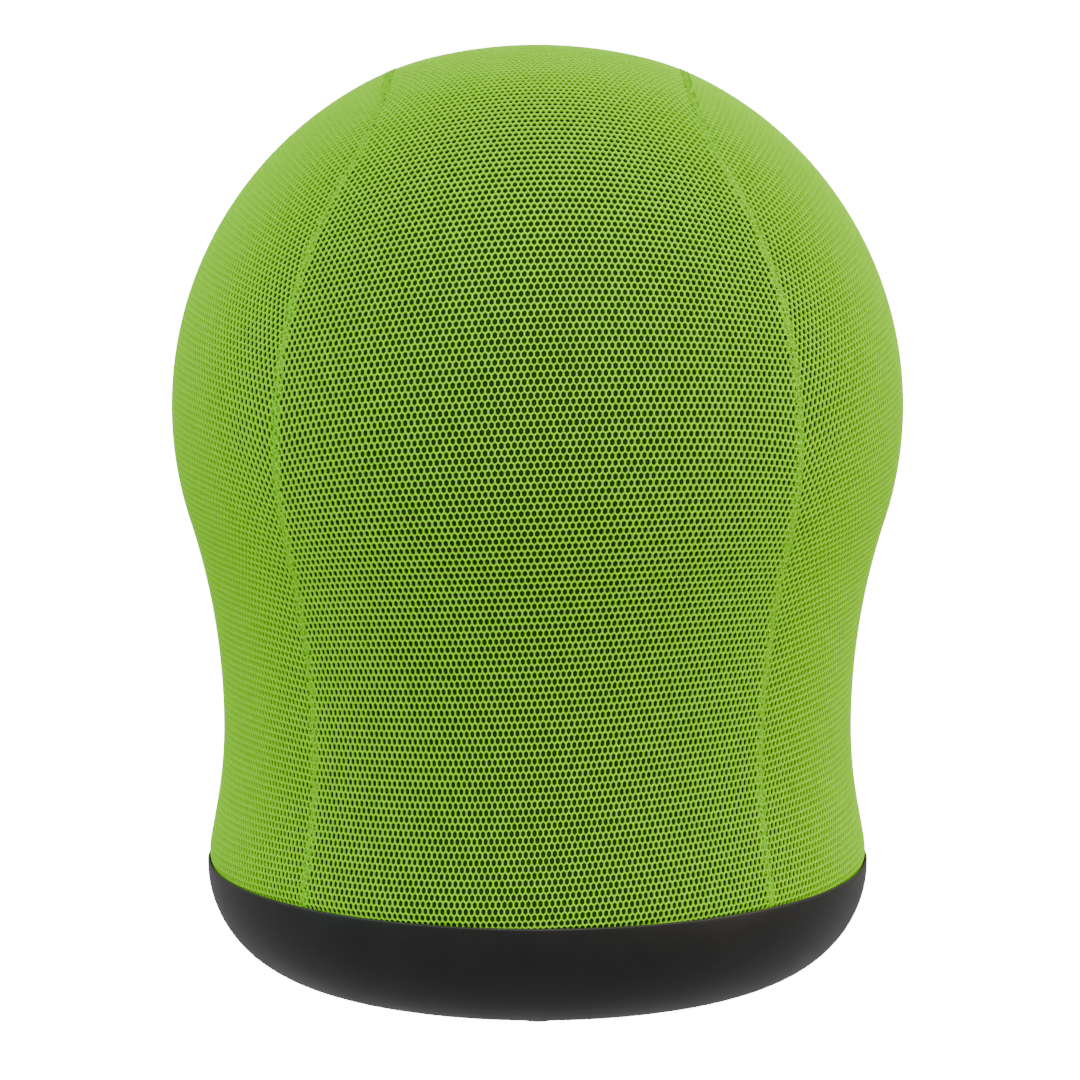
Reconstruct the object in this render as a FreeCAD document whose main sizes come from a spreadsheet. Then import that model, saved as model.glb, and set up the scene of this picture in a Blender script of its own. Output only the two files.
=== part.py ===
import FreeCAD, Part
import math
import os
import re

import Sketcher
from FreeCAD import Placement, Rotation, Vector

# A swivel ball seat. An inflated ball sits in a tube cradle under a stretched mesh cover with a
# waist, and the whole seat turns on a ball race inside a low moulded bowl that stands on rubber feet.
# Millimetres. The origin is on the floor under the middle, +Z is up and the front faces -Y.

doc = FreeCAD.newDocument("BallSeat")

# ---------------------------------------------------------------- driving dimensions
DIMENSIONS = [
    # the ball and the outside of the cover over it
    ("ball_height", 351.5, "centre of the ball above the floor"),
    ("cover_radius", 222.25, "outside of the cover round the ball, half of 17.5 inches"),
    ("cover_thickness", 3.0, "spacer mesh, pulled tight"),
    ("crown_height", 570.5, "top of the seat above the floor"),
    ("crown_radius", 273.7, "the cover flattens the top of the ball to this radius"),
    ("shoulder_radius", 173.0, "bend between the crown and the round of the ball"),
    ("leave_angle", 17.5, "degrees below the ball's middle where the cover leaves it"),
    ("waist_bend", 421.0, "hollow curve from the ball down to the waist"),
    ("skirt_bend", 280.0, "hollow curve from the waist out to the skirt"),
    ("skirt_angle", 10.5, "flare of the skirt from upright, degrees"),
    ("skirt_foot", 87.0, "height where the flare ends"),
    ("bulge_bend", 50.0, "the skirt rolls upright over the hoop"),
    ("curl_bend", 16.0, "the skirt curls in below the hoop"),
    ("cover_foot", 70.5, "lower edge of the mesh, just inside the rim"),
    ("ball_gap", 0.3, "room left between soft pieces"),
    ("ball_wall", 1.6, "skin of the inflated ball"),
    ("seam_azimuth", 43.2, "seams from the front and back middle, degrees"),
    ("seam_shoulder", 151.5, "height over the ball's middle where a seam turns up over the top"),
    ("seam_crown", 88.2, "half width of the centre panel at the top"),
    ("seam_rise", 53.0, "height that the turn over the top takes"),
    ("seam_width", 7.0, "lapped and stitched seam"),
    ("seam_proud", 0.4, "seam ridge above the mesh"),
    ("panel_gap", 0.1, "between a panel's edge and the seam"),
    # the black base
    ("rim_radius", 203.2, "outside of the bowl"),
    ("rim_height", 73.5, "top of the bowl"),
    ("rim_inner", 201.9, "inside of the thin lip"),
    ("rim_round", 0.8, "rounding of the lip's outer edge"),
    ("lip_depth", 8.5, "depth of the thin lip"),
    ("bowl_bend", 67.0, "quarter round of the bowl"),
    ("bowl_wall", 3.0, "moulded wall"),
    ("bowl_floor", 4.0, "underside of the bowl above the floor"),
    ("rib_height", 9.5, "stiffening ribs above the bowl's underside"),
    ("rib_length", 20.0, "each rib along the radius"),
    ("rib_thickness", 2.0, "each rib"),
    ("rib_count", 24.0, "ribs round the bowl"),
    ("boss_radius", 7.0, "screw bosses in the bowl"),
    ("boss_height", 4.0, "screw bosses above the bowl's floor"),
    ("boss_count", 6.0, "bosses of each of the two rings"),
    ("foot_circle", 120.0, "feet from the middle"),
    ("foot_radius", 13.0, "rubber foot"),
    ("foot_recess", 1.0, "each foot is let into the bowl's floor"),
    ("plate_circle", 112.0, "base plate screws from the middle"),
    ("base_plate_radius", 138.0, "steel base plate"),
    ("base_plate_thickness", 3.0, "steel base plate"),
    # the ball race
    ("race_inner", 50.0, "bore of both races"),
    ("race_outer", 78.0, "outside of both races"),
    ("race_thickness", 3.0, "each race"),
    ("race_screws", 72.5, "race screws from the middle"),
    ("race_screw_count", 6.0, "screws in each race"),
    ("track_radius", 62.0, "ball track"),
    ("bearing_ball", 4.0, "radius of a bearing ball"),
    ("bearing_count", 24.0, "bearing balls"),
    ("track_depth", 1.6, "groove in each race"),
    ("track_fit", 0.05, "running clearance round a bearing ball"),
    ("ring_inner", 55.0, "bore of the ball retainer"),
    ("ring_outer", 68.0, "outside of the ball retainer"),
    ("ring_thickness", 1.5, "ball retainer"),
    ("pivot_radius", 6.0, "centre bolt"),
    ("pivot_fit", 0.06, "running clearance of the centre bolt"),
    ("bush_radius", 9.0, "nylon bush in the seat plate"),
    # the seat's frame
    ("seat_plate_radius", 174.0, "steel seat plate"),
    ("seat_plate_thickness", 4.0, "steel seat plate"),
    ("tray_wall", 2.5, "moulded seat tray"),
    ("tray_bore", 58.0, "opening in the middle of the tray"),
    ("tray_flat", 176.0, "flat floor of the tray"),
    ("hoop_radius", 194.4, "round hoop on the tray's edge, which shapes the skirt"),
    ("hoop_height", 78.0, "centre of the hoop"),
    ("hoop_bead", 4.0, "radius of the hoop"),
    ("flange_height", 65.0, "underside of the tray's hem flange"),
    ("flange_inner", 182.0, "inside of the hem flange"),
    ("cradle_radius", 146.0, "tube ring that the ball rests in"),
    ("tube_radius", 11.0, "frame tube"),
    ("tube_wall", 1.5, "frame tube"),
    ("sleeve_radius", 15.0, "foam sleeve on the ring"),
    ("sleeve_sweep", 72.0, "degrees that each sleeve covers"),
    ("post_azimuth", 45.0, "first post"),
    ("post_count", 4.0, "posts"),
    ("pad_radius", 26.0, "welded pad under each post"),
    ("pad_thickness", 4.0, "welded pad under each post"),
    ("pad_bolt_circle", 19.0, "bolts in a pad from the post's middle"),
    # the hem
    ("hem_outer", 198.2, "outside of the hem binding"),
    ("hem_inner", 185.0, "inner edge of the hem binding"),
    ("hem_top", 70.2, "top of the hem binding"),
    ("hem_foot", 61.2, "underside of the hem binding"),
    ("hem_leg", 2.8, "thickness of the upright part"),
    ("hem_fold", 3.4, "thickness of the part folded under the tray"),
    ("welt_inner", 187.0, "plastic strip in the hem"),
    ("welt_outer", 197.0, "plastic strip in the hem"),
    ("welt_thickness", 1.6, "plastic strip in the hem"),
    ("hem_screw_circle", 189.0, "hem screws from the middle"),
    ("hem_screw_count", 12.0, "hem screws"),
    # the zip across the back panel
    ("slot_half", 6.0, "half height of the slot in the mesh"),
    ("slot_sweep", 80.0, "degrees that the slot covers"),
    ("tape_radius", 188.0, "inside of the zip tapes"),
    ("tape_thickness", 1.1, "zip tape"),
    ("tape_width", 14.0, "zip tape"),
    ("tape_sweep", 84.0, "degrees that the tapes cover"),
    ("teeth_inner", 187.3, "inside of the tooth coil"),
    ("teeth_outer", 189.8, "outside of the tooth coil"),
    ("teeth_height", 2.2, "tooth coil on one tape"),
    ("teeth_slit", 0.7, "half of the slit that the slider's wedge runs in"),
    ("teeth_sweep", 78.0, "degrees that the tooth coils cover"),
    ("stop_half", 2.9, "half height of an end stop"),
    ("slider_half", 4.9, "half height of the slider"),
    ("slider_sweep", 3.6, "degrees that the slider covers"),
    ("slider_plate", 1.3, "slider plates"),
    ("slider_room", 0.4, "between the slider and the coils"),
    ("pull_pin", 0.7, "radius of the slider's pin"),
    ("pull_fit", 0.1, "clearance in the pull's eye"),
    ("pull_pivot", 193.6, "pin from the seat's middle"),
    ("pull_length", 24.0, "pull tab from its pin"),
    ("pull_height", 6.0, "pull tab"),
    ("pull_thickness", 1.2, "pull tab"),
    # the valve, low at the back of the ball
    ("valve_slope", 60.0, "degrees below level that the valve points"),
    ("valve_hole", 5.0, "hole in the ball"),
    ("valve_bore", 3.2, "bore for the plug"),
    ("valve_flange", 9.0, "flange of the valve sleeve"),
    ("plug_fit", 0.08, "clearance of the plug in its bore"),
    ("plug_head", 7.0, "head of the plug"),
]

sizes = doc.addObject("Spreadsheet::Sheet", "sizes")
for row, (alias, value, meaning) in enumerate(DIMENSIONS, start=1):
    sizes.set(f"A{row}", meaning)
    sizes.set(f"B{row}", str(value))
    sizes.setAlias(f"B{row}", alias)
doc.recompute()
ALIASES = {alias for alias, _, _ in DIMENSIONS}
UP = Vector(0, 0, 1)
SUBPARTS = []


def dim(alias):
    """One driving dimension."""
    return float(sizes.get(alias))


def bound(text):
    """The text with each dimension's name made a reference to the sheet."""
    return re.sub(r"[a-z]\w*", lambda m: f"sizes.{m.group()}" if m.group() in ALIASES else m.group(), text)


def number(text):
    """What a size text comes to now."""
    return float(doc.getObject("scale").evalExpression(bound(text)))


doc.addObject("App::FeaturePython", "scale")


def keep(obj, label):
    """Names a finished sub-part and puts it on the list to write out."""
    obj.Label = label
    SUBPARTS.append(obj)
    return obj


def turn(degrees):
    """A turn about the upright axis."""
    return Placement(Vector(), Rotation(UP, degrees))


# ---------------------------------------------------------------- heights that follow from the sizes
# Stacked up from the floor, as texts for the expressions.
BOWL_TOP = "bowl_floor + bowl_wall"
PLATE_FOOT = f"{BOWL_TOP} + boss_height"
PLATE_TOP = f"{PLATE_FOOT} + base_plate_thickness"
RACE_TOP = f"{PLATE_TOP} + race_thickness"
BALL_MIDDLE = f"{RACE_TOP} - track_depth + bearing_ball + track_fit"
UPPER_FOOT = f"{BALL_MIDDLE} + bearing_ball + track_fit - track_depth"
SEAT_FOOT = f"{UPPER_FOOT} + race_thickness"
SEAT_TOP = f"{SEAT_FOOT} + seat_plate_thickness"
TRAY_FOOT = f"{SEAT_TOP} + 0.1"
TRAY_TOP = f"{TRAY_FOOT} + tray_wall"
PAD_TOP = f"{TRAY_TOP} + 0.1 + pad_thickness"
BALL_RADIUS = "cover_radius - cover_thickness - ball_gap"
CRADLE_REACH = f"({BALL_RADIUS} + sleeve_radius + ball_gap)"
CRADLE_HEIGHT = f"ball_height - sqrt({CRADLE_REACH} ^ 2 - cradle_radius ^ 2)"
WAIST_HEIGHT = "ball_height - (cover_radius + waist_bend) * sin(leave_angle)"
WAIST_RADIUS = "(cover_radius + waist_bend) * cos(leave_angle) - waist_bend"


# ---------------------------------------------------------------- ways of making a piece
def new_body(label):
    body = doc.addObject("PartDesign::Body", label)
    return keep(body, label)


def new_sketch(body, plane, lift="0"):
    """An empty sketch on one of the body's own planes, raised by lift."""
    sketch = body.newObject("Sketcher::SketchObject", "outline")
    origin = next(o for o in body.Origin.OriginFeatures if o.Role == plane)
    sketch.AttachmentSupport = [(origin, "")]
    sketch.MapMode = "FlatFace"
    if lift != "0":
        sketch.setExpression("AttachmentOffset.Base.z", bound(lift))
    return sketch


def fix(sketch, kind, edge, end, text):
    """Fixes one distance of a point from the sketch's origin."""
    value = number(text)
    if abs(value) < 1e-9:
        axis = -2 if kind == "DistanceX" else -1
        sketch.addConstraint(Sketcher.Constraint("PointOnObject", edge, end, axis))
        return
    place = sketch.addConstraint(Sketcher.Constraint(kind, -1, 1, edge, end, value))
    sketch.setExpression(f"Constraints[{place}]", bound(text))


def draw(sketch, corners, bends=None):
    """A closed outline through corners, each an (across, up) pair of size texts.

    bends maps a side's index to (radius text, bulge): the side is an arc, and bulge is +1 where it
    swells to the right of the way round and -1 where it swells to the left.
    """
    bends = bends or {}
    places = [Vector(number(across), number(up), 0) for across, up in corners]
    first = sketch.GeometryCount
    ends = []
    for side, begin in enumerate(places):
        finish = places[(side + 1) % len(places)]
        if side not in bends:
            sketch.addGeometry(Part.LineSegment(begin, finish), False)
            ends.append((1, 2))
            continue
        radius, bulge = number(bends[side][0]), bends[side][1]
        chord = finish - begin
        depth = radius - math.sqrt(radius**2 - chord.Length**2 / 4)
        out = Vector(chord.y, -chord.x, 0) / chord.Length * bulge
        middle = (begin + finish) / 2 + out * depth
        sketch.addGeometry(Part.Arc(begin, middle, finish), False)
        started = sketch.getPoint(first + side, 1).isEqual(begin, 1e-6)
        ends.append((1, 2) if started else (2, 1))
    for side, (across, up) in enumerate(corners):
        before = side - 1 if side else len(corners) - 1
        edge, end = first + side, ends[side][0]
        sketch.addConstraint(Sketcher.Constraint("Coincident", first + before, ends[before][1], edge, end))
        fix(sketch, "DistanceX", edge, end, across)
        fix(sketch, "DistanceY", edge, end, up)
    for side, (radius, _) in bends.items():
        place = sketch.addConstraint(Sketcher.Constraint("Radius", first + side, number(radius)))
        sketch.setExpression(f"Constraints[{place}]", bound(radius))
    return sketch


def draw_circle(sketch, across, up, radius):
    circle = sketch.addGeometry(Part.Circle(Vector(number(across), number(up), 0), UP, number(radius)), False)
    fix(sketch, "DistanceX", circle, 3, across)
    fix(sketch, "DistanceY", circle, 3, up)
    place = sketch.addConstraint(Sketcher.Constraint("Radius", circle, number(radius)))
    sketch.setExpression(f"Constraints[{place}]", bound(radius))
    return sketch


def revolve(body, corners, bends=None, sweep="360"):
    """Turns an outline about the upright axis, half of the sweep each way from +X."""
    sketch = draw(new_sketch(body, "XZ_Plane"), corners, bends)
    turned = body.newObject("PartDesign::Revolution", "turned")
    turned.Profile = sketch
    turned.ReferenceAxis = (sketch, ["V_Axis"])
    turned.Angle = number(sweep)
    if sweep != "360":
        turned.setExpression("Angle", bound(sweep))
        turned.Midplane = True
    return turned


def pad(body, sketch, length):
    raised = body.newObject("PartDesign::Pad", "raised")
    raised.Profile = sketch
    raised.setExpression("Length", bound(length))
    return raised


def drill(body, lift, across, radius, depth, up="0"):
    """Cuts a round hole down from lift."""
    sketch = draw_circle(new_sketch(body, "XY_Plane", lift), across, up, radius)
    hole = body.newObject("PartDesign::Pocket", "hole")
    hole.Profile = sketch
    hole.setExpression("Length", bound(depth))
    return hole


def repeat(body, feature, count, axis="N_Axis"):
    """Repeats a feature round the upright axis, which is the given axis of its sketch."""
    pattern = body.newObject("PartDesign::PolarPattern", "ring")
    pattern.Originals = [feature]
    pattern.Axis = (feature.Profile[0], [axis])
    pattern.Angle = 360
    pattern.setExpression("Occurrences", bound(count))
    body.Tip = pattern
    return pattern


def turned_solid(corners):
    """A plain turned solid about the upright axis, from (across, up) numbers."""
    points = [Vector(across, 0, up) for across, up in corners]
    return Part.Face(Part.makePolygon([*points, points[0]])).revolve(Vector(), UP, 360)


def group(label, solid, places):
    """One node of like pieces, each a separate solid."""
    node = doc.addObject("Part::Feature", label)
    node.Shape = Part.makeCompound([solid.transformed(place.toMatrix(), True) for place in places])
    node.Placement = Placement()
    return keep(node, label)


def circle_of(radius, count, start=0.0):
    """Places round the upright axis."""
    return [
        Placement(Vector(radius * math.cos(a), radius * math.sin(a), 0), Rotation(UP, math.degrees(a)))
        for a in (math.radians(start + 360 * i / count) for i in range(round(count)))
    ]


def pan_screw(head_foot, head_height, head_radius, shank_foot, shank_radius):
    """A screw put in from above, point down."""
    top = head_foot + head_height
    return turned_solid(
        [(0, shank_foot - shank_radius), (shank_radius, shank_foot), (shank_radius, head_foot),
         (head_radius, head_foot), (head_radius, top - head_height / 2), (head_radius * 0.7, top), (0, top)]
    )


# ---------------------------------------------------------------- base: bowl, feet and base plate
bowl = new_body("base_bowl")
revolve(
    bowl,
    [
        ("0", "bowl_floor"),
        ("rim_radius - bowl_bend", "bowl_floor"),
        ("rim_radius", "bowl_floor + bowl_bend"),
        ("rim_radius", "rim_height - rim_round"),
        ("rim_radius - rim_round", "rim_height"),
        ("rim_inner", "rim_height"),
        ("rim_inner", "rim_height - lip_depth"),
        ("rim_radius - bowl_bend + sqrt((bowl_bend - bowl_wall) ^ 2 - (bowl_bend - rim_height + lip_depth + bowl_floor) ^ 2)",
         "rim_height - lip_depth"),
        ("rim_radius - bowl_bend", BOWL_TOP),
        ("0", BOWL_TOP),
    ],
    {1: ("bowl_bend", 1), 3: ("rim_round", 1), 7: ("bowl_bend - bowl_wall", -1)},
)
boss = pad(
    bowl,
    draw_circle(new_sketch(bowl, "XY_Plane", "bowl_floor + 1.5"), "plate_circle", "0", "boss_radius"),
    f"{PLATE_FOOT} - bowl_floor - 1.5",
)
repeat(bowl, boss, "boss_count")
foot_boss = pad(
    bowl,
    draw_circle(
        new_sketch(bowl, "XY_Plane", "bowl_floor + 1.5"),
        "foot_circle * cos(30)", "foot_circle * sin(30)", "boss_radius",
    ),
    f"{PLATE_FOOT} - bowl_floor - 1.5",
)
repeat(bowl, foot_boss, "boss_count")
RIB_START = "base_plate_radius + 3"
rib = pad(
    bowl,
    draw(
        new_sketch(bowl, "XZ_Plane"),
        [
            (RIB_START, "bowl_floor + 2.4"),
            (f"{RIB_START} + rib_length * 0.4", "bowl_floor + 2.4"),
            (f"{RIB_START} + rib_length", "bowl_floor + 6.1"),
            (f"{RIB_START} + rib_length", "bowl_floor + rib_height + 3"),
            (RIB_START, "bowl_floor + rib_height"),
        ],
    ),
    "rib_thickness",
)
rib.Midplane = True
repeat(bowl, rib, "rib_count", "V_Axis")
plate_hole = drill(bowl, PLATE_FOOT, "plate_circle", "2.05", "6")
repeat(bowl, plate_hole, "boss_count")
foot_hole = drill(
    bowl, PLATE_FOOT, "foot_circle * cos(30)", "2.05", "boss_height + bowl_wall + 1", "foot_circle * sin(30)"
)
repeat(bowl, foot_hole, "boss_count")
recess = drill(
    bowl, "bowl_floor + foot_recess", "foot_circle * cos(30)", "foot_radius + 0.1", "foot_recess + 1",
    "foot_circle * sin(30)",
)
repeat(bowl, recess, "boss_count")

FOOT_SCREW_HEAD = 4.2
for index in range(6):
    foot = new_body(f"rubber_foot_{index + 1}")
    revolve(
        foot,
        [
            ("2.3", "3"),
            ("4.6", "3"),
            ("4.6", "0"),
            ("foot_radius - 1.2", "0"),
            ("foot_radius", "1.2"),
            ("foot_radius", "bowl_floor + foot_recess"),
            ("2.3", "bowl_floor + foot_recess"),
        ],
    )
    foot.Placement = circle_of(dim("foot_circle"), 6, 30)[index]

foot_screw = turned_solid(
    [(0, 0.8), (3.2, 0.8), (FOOT_SCREW_HEAD, 1.6), (FOOT_SCREW_HEAD, 2.9), (2.0, 2.9), (2.0, 9.2), (0, 10.6)]
)
group("foot_screws", foot_screw, circle_of(dim("foot_circle"), 6, 30))

base_plate = new_body("base_plate")
revolve(
    base_plate,
    [
        ("pivot_radius + 0.2", PLATE_FOOT),
        ("base_plate_radius", PLATE_FOOT),
        ("base_plate_radius", PLATE_TOP),
        ("pivot_radius + 0.2", PLATE_TOP),
    ],
)
repeat(base_plate, drill(base_plate, PLATE_TOP, "plate_circle", "2.4", "base_plate_thickness"), "boss_count")
repeat(base_plate, drill(base_plate, PLATE_TOP, "race_screws", "2.05", "base_plate_thickness"), "race_screw_count")

plate_top = number(PLATE_TOP)
group(
    "base_plate_screws",
    pan_screw(plate_top + 0.05, 2.6, 4.6, plate_top - 6.5, 1.95),
    circle_of(dim("plate_circle"), dim("boss_count")),
)

# ---------------------------------------------------------------- ball race and centre pivot
TRACK_HALF = "sqrt((bearing_ball + track_fit) ^ 2 - (bearing_ball + track_fit - track_depth) ^ 2)"
TRACK = "bearing_ball + track_fit"


def race(label, foot, top, grooved_top):
    """A flat pressed ring with a rolled groove for the bearing balls in one face."""
    body = new_body(label)
    inner, outer = f"track_radius - {TRACK_HALF}", f"track_radius + {TRACK_HALF}"
    if grooved_top:
        corners = [("race_inner", foot), ("race_outer", foot), ("race_outer", top), (outer, top), (inner, top),
                   ("race_inner", top)]
        revolve(body, corners, {3: (TRACK, -1)})
    else:
        corners = [("race_inner", top), ("race_inner", foot), (inner, foot), (outer, foot), ("race_outer", foot),
                   ("race_outer", top)]
        revolve(body, corners, {2: (TRACK, -1)})
    repeat(body, drill(body, top, "race_screws", "2.05", "race_thickness"), "race_screw_count")
    return body


race("lower_race", PLATE_TOP, RACE_TOP, True)
race("upper_race", UPPER_FOOT, SEAT_FOOT, False)

lower_rivet = turned_solid(
    [(0, plate_top - dim("base_plate_thickness") + 0.1), (1.95, plate_top - dim("base_plate_thickness") + 0.1),
     (1.95, number(RACE_TOP)), (3.4, number(RACE_TOP)), (2.4, number(RACE_TOP) + 1.1), (0, number(RACE_TOP) + 1.1)]
)
group("lower_race_rivets", lower_rivet, circle_of(dim("race_screws"), dim("race_screw_count")))
upper_foot, seat_foot, seat_top = number(UPPER_FOOT), number(SEAT_FOOT), number(SEAT_TOP)
upper_rivet = turned_solid(
    [(0, seat_top - 0.1), (1.95, seat_top - 0.1), (1.95, upper_foot), (3.4, upper_foot), (2.4, upper_foot - 1.1),
     (0, upper_foot - 1.1)]
)
group("upper_race_rivets", upper_rivet, circle_of(dim("race_screws"), dim("race_screw_count")))

ball_middle = number(BALL_MIDDLE)
bearing_ball = Part.makeSphere(dim("bearing_ball"), Vector(0, 0, ball_middle))
group("bearing_balls", bearing_ball, circle_of(dim("track_radius"), dim("bearing_count")))

retainer = new_body("ball_retainer")
revolve(
    retainer,
    [
        ("ring_inner", f"{BALL_MIDDLE} - ring_thickness / 2"),
        ("ring_outer", f"{BALL_MIDDLE} - ring_thickness / 2"),
        ("ring_outer", f"{BALL_MIDDLE} + ring_thickness / 2"),
        ("ring_inner", f"{BALL_MIDDLE} + ring_thickness / 2"),
    ],
)
retainer_hole = drill(
    retainer, f"{BALL_MIDDLE} + ring_thickness / 2", "track_radius", "bearing_ball + 0.15", "ring_thickness"
)
repeat(retainer, retainer_hole, "bearing_count")

bolt = new_body("pivot_bolt")
BOLT_TOP = f"{SEAT_TOP} + 17"
revolve(
    bolt,
    [
        ("0", f"{BOWL_TOP} + 0.3"),
        ("9", f"{BOWL_TOP} + 0.3"),
        ("12", f"{BOWL_TOP} + 2"),
        ("12", f"{PLATE_FOOT} - 0.05"),
        ("pivot_radius", f"{PLATE_FOOT} - 0.05"),
        ("pivot_radius", f"{BOLT_TOP} - 1"),
        ("pivot_radius - 1", BOLT_TOP),
        ("0", BOLT_TOP),
    ],
)
bush = new_body("pivot_bush")
revolve(
    bush,
    [
        ("pivot_radius + pivot_fit", f"{SEAT_FOOT}"),
        ("bush_radius", f"{SEAT_FOOT}"),
        ("bush_radius", f"{SEAT_TOP} + 0.05"),
        ("bush_radius + 5", f"{SEAT_TOP} + 0.05"),
        ("bush_radius + 5", f"{SEAT_TOP} + 2"),
        ("pivot_radius + pivot_fit", f"{SEAT_TOP} + 2"),
    ],
)
washer = new_body("pivot_washer")
revolve(
    washer,
    [
        ("pivot_radius + 0.3", f"{SEAT_TOP} + 2.3"),
        ("bush_radius + 6", f"{SEAT_TOP} + 2.3"),
        ("bush_radius + 6", f"{SEAT_TOP} + 4.3"),
        ("pivot_radius + 0.3", f"{SEAT_TOP} + 4.3"),
    ],
)
nut_blank = doc.addObject("Part::Prism", "nut_blank")
nut_blank.Polygon = 6
nut_blank.setExpression("Circumradius", bound("pivot_radius * 1.8"))
nut_blank.Height = 10.5
nut_bore = doc.addObject("Part::Cylinder", "nut_bore")
nut_bore.setExpression("Radius", bound("pivot_radius + 0.05"))
nut_bore.Height = 10.5
nut = doc.addObject("Part::Cut", "pivot_nut")
nut.Base, nut.Tool = nut_blank, nut_bore
nut.Placement.Base = Vector(0, 0, seat_top + 4.4)
keep(nut, "pivot_nut")

# ---------------------------------------------------------------- seat plate and tray
POST_START = dim("post_azimuth")
POST_COUNT = round(dim("post_count"))
POSTS = circle_of(dim("cradle_radius"), POST_COUNT, POST_START)
PAD_BOLTS = circle_of(dim("pad_bolt_circle"), 4, 0)

seat_plate = new_body("seat_plate")
revolve(
    seat_plate,
    [
        ("bush_radius + 0.05", SEAT_FOOT),
        ("seat_plate_radius", SEAT_FOOT),
        ("seat_plate_radius", SEAT_TOP),
        ("bush_radius + 0.05", SEAT_TOP),
    ],
)
repeat(seat_plate, drill(seat_plate, SEAT_TOP, "race_screws", "2.05", "seat_plate_thickness"), "race_screw_count")
TRAY_SCREW_CIRCLE = "104"
repeat(seat_plate, drill(seat_plate, SEAT_TOP, TRAY_SCREW_CIRCLE, "2.05", "seat_plate_thickness"), "6")

tray = new_body("seat_tray")
revolve(
    tray,
    [
        ("tray_bore", TRAY_FOOT),
        ("tray_flat", TRAY_FOOT),
        ("flange_inner + tray_wall", "flange_height"),
        ("hoop_radius", "flange_height"),
        ("hoop_radius", "hoop_height - hoop_bead"),
        ("hoop_radius + hoop_bead", "hoop_height"),
        ("hoop_radius", "hoop_height + hoop_bead"),
        ("hoop_radius - tray_wall", "hoop_height + hoop_bead - 2"),
        ("hoop_radius - tray_wall", "flange_height + tray_wall"),
        ("flange_inner", "flange_height + tray_wall"),
        ("tray_flat - tray_wall", TRAY_TOP),
        ("tray_bore", TRAY_TOP),
    ],
    {4: ("hoop_bead", 1), 5: ("hoop_bead", 1)},
)
repeat(tray, drill(tray, TRAY_TOP, TRAY_SCREW_CIRCLE, "2.3", "tray_wall"), "6")
hem_hole = drill(tray, "flange_height + tray_wall", "hem_screw_circle", "1.55", "tray_wall")
repeat(tray, hem_hole, "hem_screw_count")

# The four bolts of each pad go through the tray and the seat plate.
for body, top, depth, radius in ((seat_plate, SEAT_TOP, "seat_plate_thickness", "3.05"),
                                 (tray, TRAY_TOP, "tray_wall", "3.2")):
    for bolt_place in PAD_BOLTS:
        across = f"cradle_radius + {bolt_place.Base.x}"
        hole = drill(body, top, across, radius, depth, f"{bolt_place.Base.y}")
        repeat(body, hole, "post_count")
        hole.Profile[0].AttachmentOffset = Placement(Vector(), Rotation(UP, POST_START))
        hole.Profile[0].setExpression("AttachmentOffset.Base.z", bound(top))

tray_top = number(TRAY_TOP)
group("tray_screws", pan_screw(tray_top + 0.05, 2.4, 4.2, seat_foot - 1.5, 1.95), circle_of(104.0, 6))

# ---------------------------------------------------------------- cradle: pads, posts, ring and sleeves
pad_top = number(PAD_TOP)
cradle_height = number(CRADLE_HEIGHT)
for index, place in enumerate(POSTS):
    flange = new_body(f"post_pad_{index + 1}")
    revolve(
        flange,
        [
            ("tube_radius - tube_wall", f"{TRAY_TOP} + 0.1"),
            ("pad_radius", f"{TRAY_TOP} + 0.1"),
            ("pad_radius", PAD_TOP),
            ("tube_radius + 1.8", PAD_TOP),
            ("tube_radius + 0.05", f"{PAD_TOP} + 3"),
            ("tube_radius + 0.05", PAD_TOP),
            ("tube_radius - tube_wall", PAD_TOP),
        ],
    )
    repeat(flange, drill(flange, PAD_TOP, "pad_bolt_circle", "3.2", "pad_thickness"), "4")
    flange.Placement = place

    tube = doc.addObject("Part::Cylinder", f"tube_{index + 1}")
    tube.setExpression("Radius", bound("tube_radius"))
    tube.setExpression("Height", bound(f"{CRADLE_HEIGHT} - ({PAD_TOP}) - 0.05"))
    tube.Placement = Placement(Vector(place.Base.x, place.Base.y, pad_top + 0.05), place.Rotation)
    bore = doc.addObject("Part::Cylinder", f"tube_bore_{index + 1}")
    bore.setExpression("Radius", bound("tube_radius - tube_wall"))
    bore.setExpression("Height", bound(CRADLE_HEIGHT))
    bore.Placement = Placement(Vector(place.Base.x, place.Base.y, 0), place.Rotation)
    cope = doc.addObject("Part::Torus", f"cope_{index + 1}")
    cope.setExpression("Radius1", bound("cradle_radius"))
    cope.setExpression("Radius2", bound("tube_radius + 0.05"))
    cope.Placement.Base = Vector(0, 0, cradle_height)
    open_tube = doc.addObject("Part::Cut", f"open_tube_{index + 1}")
    open_tube.Base, open_tube.Tool = tube, bore
    post = doc.addObject("Part::Cut", f"post_{index + 1}")
    post.Base, post.Tool = open_tube, cope
    keep(post, f"cradle_post_{index + 1}")

pad_bolt = pan_screw(pad_top + 0.05, 4.2, 5.4, seat_foot - 1.2, 2.95)
pad_bolt_places = [place.multiply(bolt_place) for place in POSTS for bolt_place in PAD_BOLTS]
group("post_bolts", pad_bolt, pad_bolt_places)

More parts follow.
